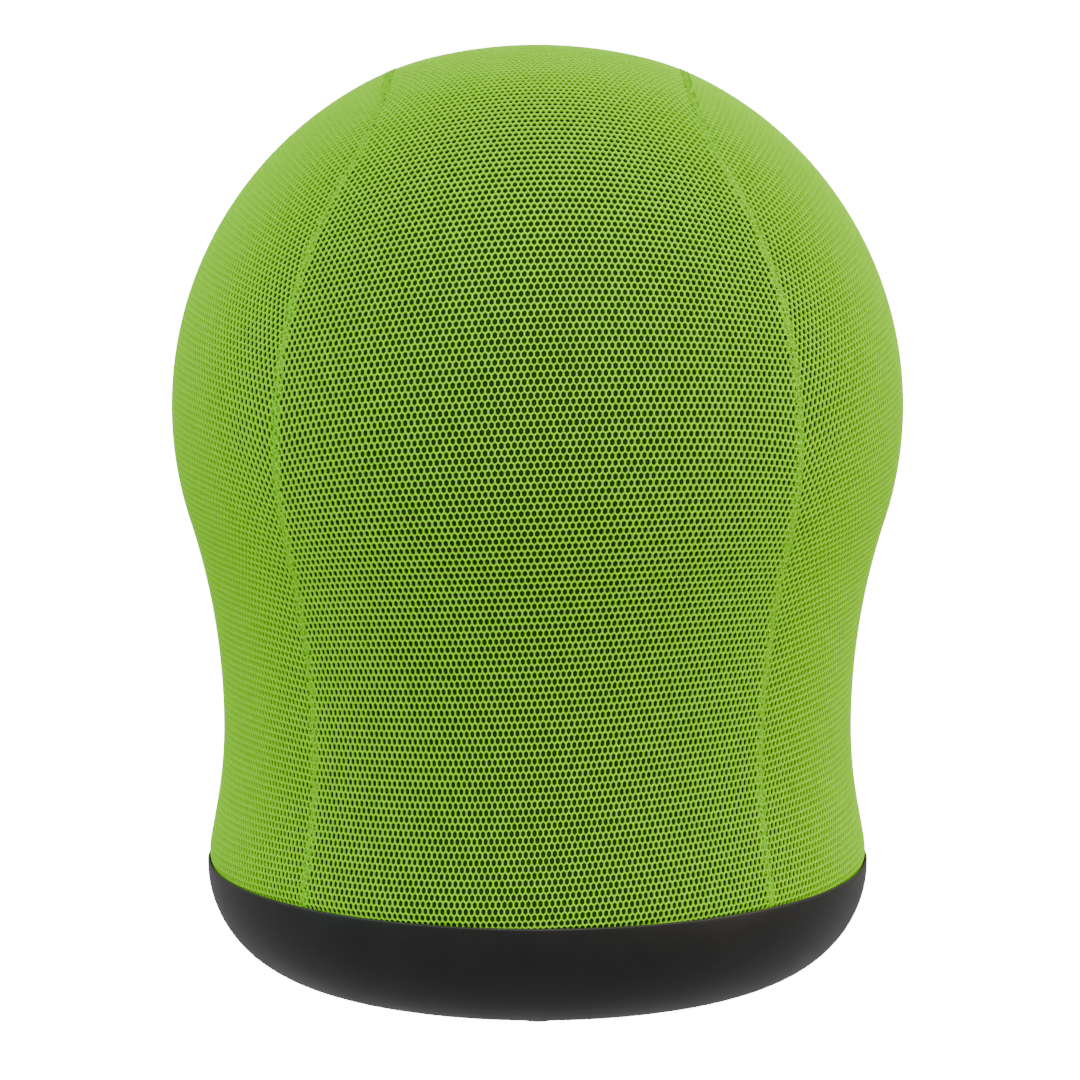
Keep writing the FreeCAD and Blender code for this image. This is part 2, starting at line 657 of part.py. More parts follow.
ring_skin = doc.addObject("Part::Torus", "ring_skin")
ring_skin.setExpression("Radius1", bound("cradle_radius"))
ring_skin.setExpression("Radius2", bound("tube_radius"))
ring_core = doc.addObject("Part::Torus", "ring_core")
ring_core.setExpression("Radius1", bound("cradle_radius"))
ring_core.setExpression("Radius2", bound("tube_radius - tube_wall"))
vents = []
for index, place in enumerate(POSTS):
    vent = doc.addObject("Part::Cylinder", f"vent_{index + 1}")
    vent.Radius = 3
    vent.setExpression("Height", bound("tube_radius + 1"))
    vent.Placement.Base = Vector(place.Base.x, place.Base.y, -dim("tube_radius") - 1)
    vents.append(vent)
ring_hollow = doc.addObject("Part::MultiFuse", "ring_hollow")
ring_hollow.Shapes = [ring_core, *vents]
ring = doc.addObject("Part::Cut", "ring")
ring.Base, ring.Tool = ring_skin, ring_hollow
ring.Placement.Base = Vector(0, 0, cradle_height)
keep(ring, "cradle_ring")

for index in range(POST_COUNT):
    foam = doc.addObject("Part::Torus", f"foam_{index + 1}")
    foam.setExpression("Radius1", bound("cradle_radius"))
    foam.setExpression("Radius2", bound("sleeve_radius"))
    foam.setExpression("Angle3", bound("sleeve_sweep"))
    foam_bore = doc.addObject("Part::Torus", f"foam_bore_{index + 1}")
    foam_bore.setExpression("Radius1", bound("cradle_radius"))
    foam_bore.setExpression("Radius2", bound("tube_radius + 0.1"))
    sleeve = doc.addObject("Part::Cut", f"sleeve_{index + 1}")
    sleeve.Base, sleeve.Tool = foam, foam_bore
    middle = POST_START + 360 / POST_COUNT * (index + 0.5)
    sleeve.Placement = Placement(Vector(0, 0, cradle_height), Rotation(UP, middle - dim("sleeve_sweep") / 2))
    keep(sleeve, f"ring_sleeve_{index + 1}")


# ---------------------------------------------------------------- the outline of cover and ball
def outline_arcs(inset):
    """The outside of the cover, or a skin inset from it, as arcs from the crown down.

    Each is (centre across, centre up, signed radius, first tilt, last tilt): a point is the centre
    plus the radius along the outward normal's tilt above level. A hollow curve's radius is negative.
    """
    middle, radius = dim("ball_height"), dim("cover_radius")
    crown, shoulder = dim("crown_radius"), dim("shoulder_radius")
    crown_centre = dim("crown_height") - crown
    apart = middle - crown_centre
    along = ((crown - shoulder) ** 2 - (radius - shoulder) ** 2 + apart**2) / (2 * apart)
    across = math.sqrt((crown - shoulder) ** 2 - along**2)
    crown_end = 90 - math.degrees(math.atan2(across, along))
    ball_start = 90 - math.degrees(math.atan2(across, along - apart))
    leave, flare = dim("leave_angle"), dim("skirt_angle")
    waist, skirt, bulge, curl = (dim(a) for a in ("waist_bend", "skirt_bend", "bulge_bend", "curl_bend"))
    waist_across, waist_up = number(WAIST_RADIUS), number(WAIST_HEIGHT)
    skirt_end = waist_across + skirt * (1 - math.cos(math.radians(flare)))
    flare_drop = waist_up - skirt * math.sin(math.radians(flare)) - dim("skirt_foot")
    foot_across = skirt_end + flare_drop * math.tan(math.radians(flare))
    bulge_across = foot_across - bulge * math.cos(math.radians(flare))
    bulge_up = dim("skirt_foot") - bulge * math.sin(math.radians(flare))
    curl_across = bulge_across + bulge - curl
    curl_end = -math.degrees(math.asin((bulge_up - dim("cover_foot")) / curl))
    return [
        (0.0, crown_centre, crown - inset, 90.0, crown_end),
        (across, crown_centre + along, shoulder - inset, crown_end, ball_start),
        (0.0, middle, radius - inset, ball_start, -leave),
        (waist_across + waist, waist_up, -waist - inset, -leave, 0.0),
        (waist_across + skirt, waist_up, -skirt - inset, 0.0, flare),
        (bulge_across, bulge_up, bulge - inset, flare, 0.0),
        (curl_across, bulge_up, curl - inset, 0.0, curl_end),
    ]


def on_arc(arc, tilt):
    across, up, radius, _, _ = arc
    lean = math.radians(tilt)
    return Vector(across + radius * math.cos(lean), 0, up + radius * math.sin(lean))


def arc_edges(arcs):
    """The arcs as edges, with a straight edge across any space between two of them."""
    edges = []
    for arc in arcs:
        start, stop = on_arc(arc, arc[3]), on_arc(arc, arc[4])
        if edges:
            last = edges[-1].lastVertex().Point if edges[-1].Orientation == "Forward" else None
            if last is not None and last.distanceToPoint(start) > 1e-4:
                edges.append(Part.LineSegment(last, start).toShape())
        edges.append(Part.Arc(start, on_arc(arc, (arc[3] + arc[4]) / 2), stop).toShape())
    return edges


def shell_solid(outer_inset, inner_inset):
    """A closed skin of the cover's shape between two insets, turned about the upright axis."""
    outer, inner = outline_arcs(outer_inset), outline_arcs(inner_inset)
    top = Part.LineSegment(on_arc(inner[0], 90), on_arc(outer[0], 90)).toShape()
    foot = Part.LineSegment(on_arc(inner[-1], inner[-1][4]), on_arc(outer[-1], outer[-1][4])).toShape()
    wire = Part.Wire(Part.__sortEdges__([*arc_edges(outer), foot, *arc_edges(inner), top]))
    return Part.Face(wire).revolve(Vector(), UP, 360)


# ---------------------------------------------------------------- cover panels and seams
def seam_points():
    """The seam in front view, as (across, up) points from below the hem to above the crown."""
    lean = math.sin(math.radians(dim("seam_azimuth")))
    arcs = outline_arcs(0)
    turn_up = dim("ball_height") + dim("seam_shoulder")
    points = []
    for arc in arcs[:2:-1]:
        for share in (0, 0.25, 0.5, 0.75):
            p = on_arc(arc, arc[4] + (arc[3] - arc[4]) * share)
            points.append(Vector(p.x * lean, 0, p.z))
    ball = arcs[2]
    top_tilt = math.degrees(math.asin(dim("seam_shoulder") / dim("cover_radius")))
    for step in range(9):
        p = on_arc(ball, ball[4] + (top_tilt - ball[4]) * step / 8)
        points.append(Vector(p.x * lean, 0, p.z))
    edge = math.sqrt(dim("cover_radius") ** 2 - dim("seam_shoulder") ** 2)
    start, slope = edge * lean, -dim("seam_shoulder") / edge * lean
    rise = dim("seam_rise")
    bow = (dim("seam_crown") - start - slope * rise) / rise**2
    for step in range(1, 8):
        t = rise * step / 5
        points.append(Vector(start + slope * t + bow * t * t, 0, turn_up + t))
    below = points[0]
    return [Vector(below.x, 0, below.z - 20), below + Vector(0, 0, -8), *points[1:]]


def between_seams(low, high):
    """A block through the seat, front to back: the part between two lines beside the right seam.

    low and high are distances across from the seam, and None stands for far away on that side.
    """
    points = seam_points()
    reach = 2 * dim("cover_radius")

    def line(offset):
        if offset is None:
            return [Vector(reach, 0, points[0].z), Vector(reach, 0, points[-1].z)]
        return [p + Vector(offset, 0, 0) for p in points]

    sides = []
    for offset in (low, high):
        through = line(offset)
        if offset is None:
            sides.append((Part.LineSegment(through[0], through[-1]).toShape(), through))
        else:
            curve = Part.BSplineCurve()
            curve.interpolate(through)
            sides.append((curve.toShape(), through))
    foot = Part.LineSegment(sides[0][1][0], sides[1][1][0]).toShape()
    top = Part.LineSegment(sides[0][1][-1], sides[1][1][-1]).toShape()
    face = Part.Face(Part.Wire(Part.__sortEdges__([sides[0][0], top, sides[1][0], foot])))
    face.translate(Vector(0, -reach, 0))
    return face.extrude(Vector(0, 2 * reach, 0))


def mirrored(shape):
    return shape.mirror(Vector(), Vector(1, 0, 0))


def feature(label, shape):
    node = doc.addObject("Part::Feature", label)
    node.Shape = shape
    node.Placement = shape.Placement
    return keep(node, label)


def sector(inner, outer, low, high, middle_azimuth, sweep):
    """A ring segment about the upright axis."""
    points = [Vector(inner, 0, low), Vector(outer, 0, low), Vector(outer, 0, high), Vector(inner, 0, high)]
    face = Part.Face(Part.makePolygon([*points, points[0]]))
    face.rotate(Vector(), UP, middle_azimuth - sweep / 2)
    return face.revolve(Vector(), UP, sweep)


BACK = 90
zip_height = number(WAIST_HEIGHT)
half_seam, gap = dim("seam_width") / 2, dim("panel_gap")
cover = shell_solid(0, dim("cover_thickness"))
ridge = shell_solid(-dim("seam_proud"), dim("cover_thickness"))
side_block = between_seams(half_seam + gap, None)
seam_block = between_seams(-half_seam, half_seam)
centre_cut = between_seams(-half_seam - gap, None)
slot = sector(
    dim("tape_radius") - 5, dim("cover_radius"), zip_height - dim("slot_half"), zip_height + dim("slot_half"),
    BACK, dim("slot_sweep"),
)
feature("cover_centre_panel", cover.cut([centre_cut, mirrored(centre_cut), slot]))
right_panel = cover.common(side_block)
feature("cover_right_panel", right_panel)
feature("cover_left_panel", mirrored(right_panel))
right_seam = ridge.common(seam_block)
feature("cover_right_seam", right_seam)
feature("cover_left_seam", mirrored(right_seam))

# ---------------------------------------------------------------- hem: binding, stiffening strip and screws
binding = new_body("hem_binding")
STRIP_FOOT = "hem_foot + (hem_fold - welt_thickness) / 2"
revolve(
    binding,
    [
        ("hem_inner", "hem_foot"),
        ("hem_outer", "hem_foot"),
        ("hem_outer", "hem_top"),
        ("hem_outer - hem_leg", "hem_top"),
        ("hem_outer - hem_leg", "hem_foot + hem_fold"),
        ("hem_inner", "hem_foot + hem_fold"),
        ("hem_inner", f"{STRIP_FOOT} + welt_thickness"),
        ("welt_outer", f"{STRIP_FOOT} + welt_thickness"),
        ("welt_outer", STRIP_FOOT),
        ("hem_inner", STRIP_FOOT),
    ],
)
hem_pass = drill(binding, "hem_foot + hem_fold + 1", "hem_screw_circle", "1.7", "hem_fold + 2")
repeat(binding, hem_pass, "hem_screw_count")
strip = new_body("hem_strip")
revolve(
    strip,
    [
        ("welt_inner", f"{STRIP_FOOT} + 0.05"),
        ("welt_outer - 0.1", f"{STRIP_FOOT} + 0.05"),
        ("welt_outer - 0.1", f"{STRIP_FOOT} + welt_thickness - 0.05"),
        ("welt_inner", f"{STRIP_FOOT} + welt_thickness - 0.05"),
    ],
)
strip_pass = drill(strip, "hem_foot + hem_fold", "hem_screw_circle", "1.7", "hem_fold")
repeat(strip, strip_pass, "hem_screw_count")
hem_foot, flange_top = dim("hem_foot"), dim("flange_height") + dim("tray_wall")
hem_screw = turned_solid(
    [(0, hem_foot - 2.1), (2.6, hem_foot - 2.1), (3.6, hem_foot - 1.2), (3.6, hem_foot - 0.05),
     (1.45, hem_foot - 0.05), (1.45, flange_top + 1), (0, flange_top + 2.5)]
)
group("hem_screws", hem_screw, circle_of(dim("hem_screw_circle"), dim("hem_screw_count"), 15))
binding.Placement = strip.Placement = turn(15)
hem_hole.Profile[0].AttachmentOffset = Placement(Vector(), Rotation(UP, 15))
hem_hole.Profile[0].setExpression("AttachmentOffset.Base.z", bound("flange_height + tray_wall"))

# ---------------------------------------------------------------- zip: tapes, coils, stops, slider and pull
TAPE_NEAR = "teeth_slit + teeth_height + 0.05"
for label, sign in (("zip_tape_upper", "+"), ("zip_tape_lower", "-")):
    tape = new_body(label)
    near, far = (f"{WAIST_HEIGHT} {sign} ({reach})" for reach in (TAPE_NEAR, f"{TAPE_NEAR} + tape_width"))
    revolve(
        tape,
        [("tape_radius", near), ("tape_radius + tape_thickness", near), ("tape_radius + tape_thickness", far),
         ("tape_radius", far)],
        sweep="tape_sweep",
    )
    tape.Placement = turn(BACK)
for label, sign in (("zip_teeth_upper", "+"), ("zip_teeth_lower", "-")):
    teeth = new_body(label)
    near, far = (f"{WAIST_HEIGHT} {sign} ({reach})" for reach in ("teeth_slit", "teeth_slit + teeth_height"))
    revolve(
        teeth,
        [("teeth_inner", near), ("teeth_outer", near), ("teeth_outer", far), ("teeth_inner", far)],
        sweep="teeth_sweep",
    )
    teeth.Placement = turn(BACK)
STOP_SWEEP = 0.6
STOP_REACH = dim("teeth_sweep") / 2 + 0.05 + STOP_SWEEP / 2
for label, side in (("zip_stop_closed", -1), ("zip_stop_open", 1)):
    stop = sector(
        dim("teeth_inner") - 0.2, dim("teeth_outer") + 0.2, zip_height - dim("stop_half"),
        zip_height + dim("stop_half"), BACK + side * STOP_REACH, STOP_SWEEP,
    )
    feature(label, stop)

slider_azimuth = BACK - dim("teeth_sweep") / 2 + dim("slider_sweep") / 2 + 0.2
room, plate, half = dim("slider_room"), dim("slider_plate"), dim("slider_half")
inner_top, outer_foot = dim("teeth_inner") - room, dim("teeth_outer") + room
flange_low = dim("tape_radius") + dim("tape_thickness") + room


def slider_piece(inner, outer, low, high, sweep=None, ahead=0.0):
    return sector(
        inner, outer, zip_height + low, zip_height + high, slider_azimuth + ahead, sweep or dim("slider_sweep")
    )


pivot, pin = dim("pull_pivot"), dim("pull_pin")
LUG_NEAR, LUG_FAR = 1.3, 2.6
wedge_sweep = 0.9
slider_pieces = [
    slider_piece(inner_top - plate, inner_top, -half, half),
    slider_piece(outer_foot, outer_foot + plate, -half, half),
    slider_piece(flange_low, outer_foot, half - 0.8, half),
    slider_piece(flange_low, outer_foot, -half, -half + 0.8),
    slider_piece(inner_top, outer_foot, -0.35, 0.35, wedge_sweep, (dim("slider_sweep") - wedge_sweep) / 2),
    slider_piece(outer_foot + plate, pivot + pin + 0.5, LUG_NEAR, LUG_FAR, 1.0),
    slider_piece(outer_foot + plate, pivot + pin + 0.5, -LUG_FAR, -LUG_NEAR, 1.0),
]
pin_solid = Part.makeCylinder(pin, 2 * LUG_FAR, Vector(pivot, 0, zip_height - LUG_FAR), UP)
pin_solid.rotate(Vector(), UP, slider_azimuth)
feature("zip_slider", slider_pieces[0].fuse([*slider_pieces[1:], pin_solid]).removeSplitter())

eye_radius, eye_half = pin + dim("pull_fit") + 0.9, LUG_NEAR - 0.25
thick, tall = dim("pull_thickness"), dim("pull_height")
eye = Part.makeCylinder(eye_radius, 2 * eye_half, Vector(pivot, 0, zip_height - eye_half), UP)
neck = Part.makeBox(thick, 6, 2 * eye_half, Vector(pivot - thick / 2, -6, zip_height - eye_half))
tab = Part.makeBox(
    thick, dim("pull_length") - 5, tall, Vector(pivot - thick / 2, -dim("pull_length"), zip_height - tall / 2)
)
tab = tab.makeFillet(1.5, [e for e in tab.Edges if abs(e.tangentAt(e.FirstParameter).x) > 0.9])
window = Part.makeBox(2 * thick, 7, tall - 3.4, Vector(pivot - thick, -dim("pull_length") + 2.5, zip_height - tall / 2 + 1.7))
eye_bore = Part.makeCylinder(pin + dim("pull_fit"), 10, Vector(pivot, 0, zip_height - 5), UP)
pull = eye.fuse([neck, tab]).cut([window, eye_bore]).removeSplitter()
pull.rotate(Vector(), UP, slider_azimuth)
feature("zip_pull", pull)

# ---------------------------------------------------------------- the inflated ball, its valve and plug
ball_inset = dim("cover_thickness") + dim("ball_gap")
ball_radius = number(BALL_RADIUS)
valve_lean = math.radians(dim("valve_slope"))
valve_way = Vector(0, math.cos(valve_lean), -math.sin(valve_lean))
ball_centre = Vector(0, 0, dim("ball_height"))


def ball_solid(inset):
    """The ball: the cover's flattened crown above and a plain round below."""
    crown, shoulder, round_arc = outline_arcs(inset)[:3]
    round_arc = (*round_arc[:4], -90.0)
    edges = arc_edges([crown, shoulder, round_arc])
    axis = Part.LineSegment(on_arc(round_arc, -90), on_arc(crown, 90)).toShape()
    return Part.Face(Part.Wire(Part.__sortEdges__([*edges, axis]))).revolve(Vector(), UP, 360)


def along_valve(shape):
    """Moves a shape made about +Z from the origin to stand out of the ball at the valve."""
    shape.rotate(Vector(), Vector(1, 0, 0), -90 - dim("valve_slope"))
    shape.translate(ball_centre)
    return shape


valve_hole = along_valve(Part.makeCylinder(dim("valve_hole"), 40, Vector(0, 0, ball_radius - 30), UP))
ball = ball_solid(ball_inset).cut([ball_solid(ball_inset + dim("ball_wall")), valve_hole])
feature("inflated_ball", ball)

bore, flange = dim("valve_bore"), dim("valve_flange")
sleeve_shape = turned_solid(
    [(bore, ball_radius - 9), (dim("valve_hole") - 0.05, ball_radius - 9), (dim("valve_hole") - 0.05, ball_radius + 0.2),
     (flange, ball_radius + 0.2), (flange - 1, ball_radius + 1.4), (bore, ball_radius + 1.4)]
)
feature("valve_sleeve", along_valve(sleeve_shape))
shank, head = bore - dim("plug_fit"), dim("plug_head")
plug_shape = turned_solid(
    [(0, ball_radius - 10), (shank - 1.2, ball_radius - 10), (shank, ball_radius - 8), (shank, ball_radius + 1.7),
     (head, ball_radius + 1.7), (head, ball_radius + 2.7), (head - 1.5, ball_radius + 3.4), (0, ball_radius + 3.4)]
)
feature("valve_plug", along_valve(plug_shape))

# ---------------------------------------------------------------- check everything, then write it out
doc.recompute()
faults = [f"{o.Label}: {', '.join(o.State)}" for o in doc.Objects if {"Invalid", "Error"} & set(o.State)]
faults += [f"{o.Label}: bad shape" for o in SUBPARTS if o.Shape.isNull() or not o.Shape.isValid()]
faults += [f"{o.Label}: no solid" for o in SUBPARTS if not o.Shape.Solids]
if faults:
    raise RuntimeError("; ".join(faults))
os.makedirs("parts", exist_ok=True)
for part in SUBPARTS:
    part.Shape.exportStep(f"parts/{part.Label}.step")
    box = part.Shape.optimalBoundingBox(True, False)
    print(f"{part.Label}: {len(part.Shape.Solids)} solid(s), {part.Shape.Volume / 1000:.1f} cm3, "
          f"z {box.ZMin:.2f} to {box.ZMax:.2f}")
print(f"cradle ring at {cradle_height:.2f}, zip at {zip_height:.2f}, slider at {slider_azimuth:.2f} degrees")
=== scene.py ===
import math

import bpy
import numpy as np
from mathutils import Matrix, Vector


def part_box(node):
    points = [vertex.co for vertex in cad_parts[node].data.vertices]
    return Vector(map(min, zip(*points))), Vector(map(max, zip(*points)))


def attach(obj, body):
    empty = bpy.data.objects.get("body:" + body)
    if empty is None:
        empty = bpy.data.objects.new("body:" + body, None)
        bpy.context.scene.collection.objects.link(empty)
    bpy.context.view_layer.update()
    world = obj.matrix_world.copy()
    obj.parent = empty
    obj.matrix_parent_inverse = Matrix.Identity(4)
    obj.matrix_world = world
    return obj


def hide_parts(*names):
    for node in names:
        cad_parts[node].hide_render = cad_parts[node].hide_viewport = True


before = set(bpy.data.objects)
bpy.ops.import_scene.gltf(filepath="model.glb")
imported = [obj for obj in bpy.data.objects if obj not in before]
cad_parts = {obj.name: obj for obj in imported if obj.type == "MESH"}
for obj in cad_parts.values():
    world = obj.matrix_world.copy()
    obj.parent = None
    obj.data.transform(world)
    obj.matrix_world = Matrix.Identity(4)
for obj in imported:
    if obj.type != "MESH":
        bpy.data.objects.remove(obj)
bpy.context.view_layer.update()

# ---------------------------------------------------------------- camera
# A long lens set a little above the seat and level with its middle, three metres in front of it.
view = bpy.data.objects.new("seat_camera", bpy.data.cameras.new("seat_camera"))
view.location = (0.0015, -3.0, 0.7414)
view.rotation_euler = (math.radians(81.05), 0, 0)
view.data.lens = 165.55
view.data.sensor_width = 36
view.data.clip_end = 200
bpy.context.collection.objects.link(view)
bpy.context.scene.camera = view


# ---------------------------------------------------------------- floor
# A broad sheet of matt white board, lit through from below, that runs on out of sight behind the
# seat. It is hidden from the seat itself, which sees the white room under it instead.
class Port:
    """A value in a finish, as one of its nodes puts it out, which takes ordinary arithmetic."""

    def __init__(self, socket):
        self.socket = socket

    def node(self, kind, settings=(), values=(), out=0):
        """Adds any node. Its settings are set first, then the values or links of its sockets."""
        tree = self.socket.id_data
        made = tree.nodes.new(kind)
        for name, value in dict(settings).items():
            setattr(made, name, value)
        for name, value in dict(values).items():
            if isinstance(value, Port):
                tree.links.new(value.socket, made.inputs[name])
            else:
                made.inputs[name].default_value = value
        return Port(made.outputs[out])

    def math(self, operation, *others):
        return self.node("ShaderNodeMath", {"operation": operation}, dict(enumerate((self, *others))))

    def __add__(self, other):
        return self.math("ADD", other)

    def __mul__(self, other):
        return self.math("MULTIPLY", other)

    def __rsub__(self, other):
        return (self * -1).math("ADD", other)

    __radd__, __rmul__ = __add__, __mul__

    def between(self, low, high):
        """0 below low, 1 above high and an even ramp between them."""
        return self.node("ShaderNodeMapRange", (), {0: self, 1: low, 2: high, 3: 0.0, 4: 1.0})

    def colours(self, first, second):
        """One colour where this value is 0 and the other where it is 1."""
        first, second = (c if isinstance(c, Port) else (*c, 1) for c in (first, second))
        return self.node("ShaderNodeMix", {"data_type": "RGBA"}, {0: self, 6: first, 7: second}, 2)

    def height(self, axis):
        """One axis of a place."""
        return self.node("ShaderNodeSeparateXYZ", (), {0: self}, axis)

    def stretched(self, x, y, z):
        """A place with each of its axes multiplied."""
        return self.node("ShaderNodeVectorMath", {"operation": "MULTIPLY"}, {0: self, 1: (x, y, z)})

    def cloudy(self, per_metre, detail=2.0):
        """Soft random mottling with about this many blotches in a metre, at a place."""
        return self.node("ShaderNodeTexNoise", (), {"Vector": self, "Scale": per_metre, "Detail": detail})

    def cells(self, per_metre):
        """How far a place is from the middles of small random cells."""
        return self.node("ShaderNodeTexVoronoi", (), {"Vector": self, "Scale": per_metre})

    def relief(self, millimetres):
        """A surface that stands up by this many millimetres where the value is 1."""
        height = {"Strength": 1.0, "Distance": millimetres / 1000, "Height": self}
        return self.node("ShaderNodeBump", (), height)


class Finish:
    """A material with a main shader, whose fixed values are given by name."""

    def __init__(self, name, **fixed):
        self.material = bpy.data.materials.new(name)
        self.material.use_nodes = True
        tree = self.material.node_tree
        self.shader = tree.nodes["Principled BSDF"]
        for socket, value in fixed.items():
            self.shader.inputs[socket.replace("_", " ")].default_value = value
        self.place = Port(tree.nodes.new("ShaderNodeTexCoord").outputs["Object"])

    def feed(self, **changing):
        for socket, value in changing.items():
            self.material.node_tree.links.new(value.socket, self.shader.inputs[socket.replace("_", " ")])
        return self.material


def built(name, points, faces, materials, which=None, smooth=True):
    """A mesh object from points, lists of faces with the same number of corners, and materials."""
    mesh = bpy.data.meshes.new(name)
    faces = [np.asarray(group, np.int32) for group in (faces if isinstance(faces, list) else [faces])]
    corners = np.concatenate([group.ravel() for group in faces])
    sizes = np.concatenate([np.full(len(group), group.shape[1]) for group in faces])
    mesh.vertices.add(len(points))
    mesh.vertices.foreach_set("co", np.asarray(points, np.float32).ravel())
    mesh.loops.add(len(corners))
    mesh.loops.foreach_set("vertex_index", corners)
    mesh.polygons.add(len(sizes))
    mesh.polygons.foreach_set("loop_start", np.concatenate([[0], np.cumsum(sizes)[:-1]]).astype(np.int32))
    if which is not None:
        mesh.polygons.foreach_set("material_index", np.asarray(which, np.int32))
    mesh.polygons.foreach_set("use_smooth", np.full(len(sizes), smooth))
    for material in materials:
        mesh.materials.append(material)
    mesh.update(calc_edges=True)
    mesh.validate()
    made = bpy.data.objects.new(name, mesh)
    bpy.context.collection.objects.link(made)
    return made


board = Finish("white_board", Roughness=0.8, Specular_IOR_Level=0.1, Emission_Strength=16.0)
grey = board.place.cloudy(1.3)
board.feed(Base_Color=grey.colours((0.90, 0.90, 0.90), (0.94, 0.94, 0.94)),
           Emission_Color=grey.colours((0.97, 0.97, 0.97), (1.0, 1.0, 1.0)))
reach = 60
floor = built("floor", [(-reach, -reach, 0), (reach, -reach, 0), (reach, reach, 0), (-reach, reach, 0)],
              [[(0, 1, 2, 3)]], [board.material], smooth=False)
floor.visible_diffuse = floor.visible_glossy = False


# ---------------------------------------------------------------- light
# Two tall soft boxes at the sides, a broad one in front and one overhead, in a white room. The left
# one is a little cooler than the right.
def soft_box(name, place, aim, size, power, colour):
    lamp = bpy.data.objects.new(name, bpy.data.lights.new(name, "AREA"))
    lamp.data.shape, lamp.data.size, lamp.data.size_y = "RECTANGLE", *size
    lamp.data.energy, lamp.data.color = power, colour
    lamp.location = place
    way = np.array(place) - np.array(aim)
    lamp.rotation_euler = (math.atan2(math.hypot(way[0], way[1]), way[2]), 0, math.atan2(way[0], -way[1]))
    bpy.context.collection.objects.link(lamp)


soft_box("left_light", (-2.6, -0.9, 1.0), (0, 0, 0.3), (1.6, 2.4), 32, (0.56, 1.0, 0.66))
soft_box("right_light", (2.6, -0.9, 1.0), (0, 0, 0.3), (1.6, 2.4), 53, (1.0, 0.97, 0.62))
soft_box("front_light", (0.0, -4.2, 2.4), (0, 0, 0.3), (3.2, 1.6), 166, (1.0, 1.0, 0.90))
soft_box("top_light", (0.0, 0.2, 3.2), (0, 0, 0.3), (3.0, 3.0), 24, (1.0, 1.0, 0.88))
room = bpy.data.worlds.new("white_room")
room.use_nodes = True
room.node_tree.nodes["Background"].inputs["Color"].default_value = (1, 1, 1, 1)
room.node_tree.nodes["Background"].inputs["Strength"].default_value = 0.46
bpy.context.scene.world = room


# ---------------------------------------------------------------- base bowl
# The low round dish that stands on the floor, moulded in satin black plastic with a fine spark-eroded
# grain. The top of its rim is painted lighter as a painted highlight, and the curve down to the floor is
# scuffed a little by shoes.
def dress(names, finish):
    """Gives CAD pieces a finish in place of their plain one."""
    for name in names:
        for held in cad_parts[name].material_slots:
            held.material = finish


bowl = Finish("bowl_plastic", Specular_IOR_Level=0.42)
up = bowl.place.height(2)
scuffed = bowl.place.cloudy(120, 4).between(0.45, 0.6)
# The lighter band on top of the rim is a painted highlight; the random patches near the floor are scuffs.
rim_highlight_and_scuffs = up.between(0.0722, 0.0736) + (1 - up.between(0.004, 0.012)) * scuffed * 0.6
dust = bowl.place.cloudy(25, 4).between(0.35, 0.75)
bowl.feed(
    Base_Color=(rim_highlight_and_scuffs * 0.5 + dust * 0.06).colours((0.0050, 0.0045, 0.0052), (0.060, 0.058, 0.056)),
    Roughness=0.36 + dust * 0.08 + rim_highlight_and_scuffs * 0.1,
    Normal=(bowl.place.cells(1500) * 0.5 + bowl.place.cloudy(700)).relief(0.02))
dress(["base_bowl"], bowl.material)

# ---------------------------------------------------------------- rubber feet
# Six round pads of matt black rubber let into the underside of the bowl, each held by one screw.
# They pick up dust where they meet the floor.
rubber = Finish("foot_rubber", Specular_IOR_Level=0.35)
dusty = (1 - rubber.place.height(2).between(0.0, 0.003)) * rubber.place.cloudy(400, 4).between(0.3, 0.8)
rubber.feed(Base_Color=dusty.colours((0.018, 0.018, 0.018), (0.12, 0.115, 0.105)),
            Roughness=0.75 + dusty * 0.2,
            Normal=rubber.place.cloudy(2500).relief(0.04))
dress([f"rubber_foot_{n}" for n in range(1, 7)], rubber.material)

# ---------------------------------------------------------------- screws, rivets, ball race and pivot
# The turning joint is a ring of steel balls between two pressed races about a middle bolt. Races,
# screws, rivets, bolt, washer and nut are steel with clear zinc plating, cloudy and faintly bluish.
zinc = Finish("zinc_steel", Metallic=1.0)
cloud = zinc.place.cloudy(180, 4).between(0.3, 0.7)
drawn = zinc.place.stretched(1, 1, 8).cloudy(900, 3)
zinc.feed(Base_Color=cloud.colours((0.50, 0.51, 0.52), (0.66, 0.65, 0.62)),
          Roughness=0.28 + cloud * 0.14,
          Normal=drawn.relief(0.015))
dress(["foot_screws", "base_plate_screws", "lower_race", "lower_race_rivets", "pivot_bolt", "pivot_washer",
       "pivot_nut", "bearing_balls", "upper_race", "upper_race_rivets", "tray_screws", "post_bolts",
       "hem_screws"], zinc.material)

# ---------------------------------------------------------------- nylon ring, bush and hem strip
# The cage between the steel balls, the bush round the middle bolt and the split strip inside the hem
# are moulded in natural nylon, slightly cloudy and a touch yellow.
nylon = Finish("natural_nylon", Subsurface_Weight=0.15, Subsurface_Radius=(0.004, 0.004, 0.003))
milk = nylon.place.cloudy(150, 3)
nylon.feed(Base_Color=milk.colours((0.66, 0.64, 0.57), (0.80, 0.78, 0.72)),
           Roughness=0.38 + milk * 0.15,
           Normal=nylon.place.cloudy(1800).relief(0.01))
dress(["ball_retainer", "pivot_bush", "hem_strip"], nylon.material)

# ---------------------------------------------------------------- plates, pads, posts and tube ring
# The base plate, the seat plate, the four posts with their pads and the bent tube ring that carries
# the ball are mild steel under black powder coat, with its fine orange-peel skin.
coat = Finish("black_powder_coat", Specular_IOR_Level=0.5)
peel = coat.place.cloudy(900, 2)
coat.feed(Base_Color=coat.place.cloudy(60, 3).colours((0.018, 0.018, 0.019), (0.034, 0.034, 0.034)),
          Roughness=0.42 + peel * 0.12,
          Normal=peel.relief(0.06))
dress(["base_plate", "seat_plate", "cradle_ring",
       *(f"{kind}_{n}" for kind in ("post_pad", "cradle_post") for n in range(1, 5))], coat.material)

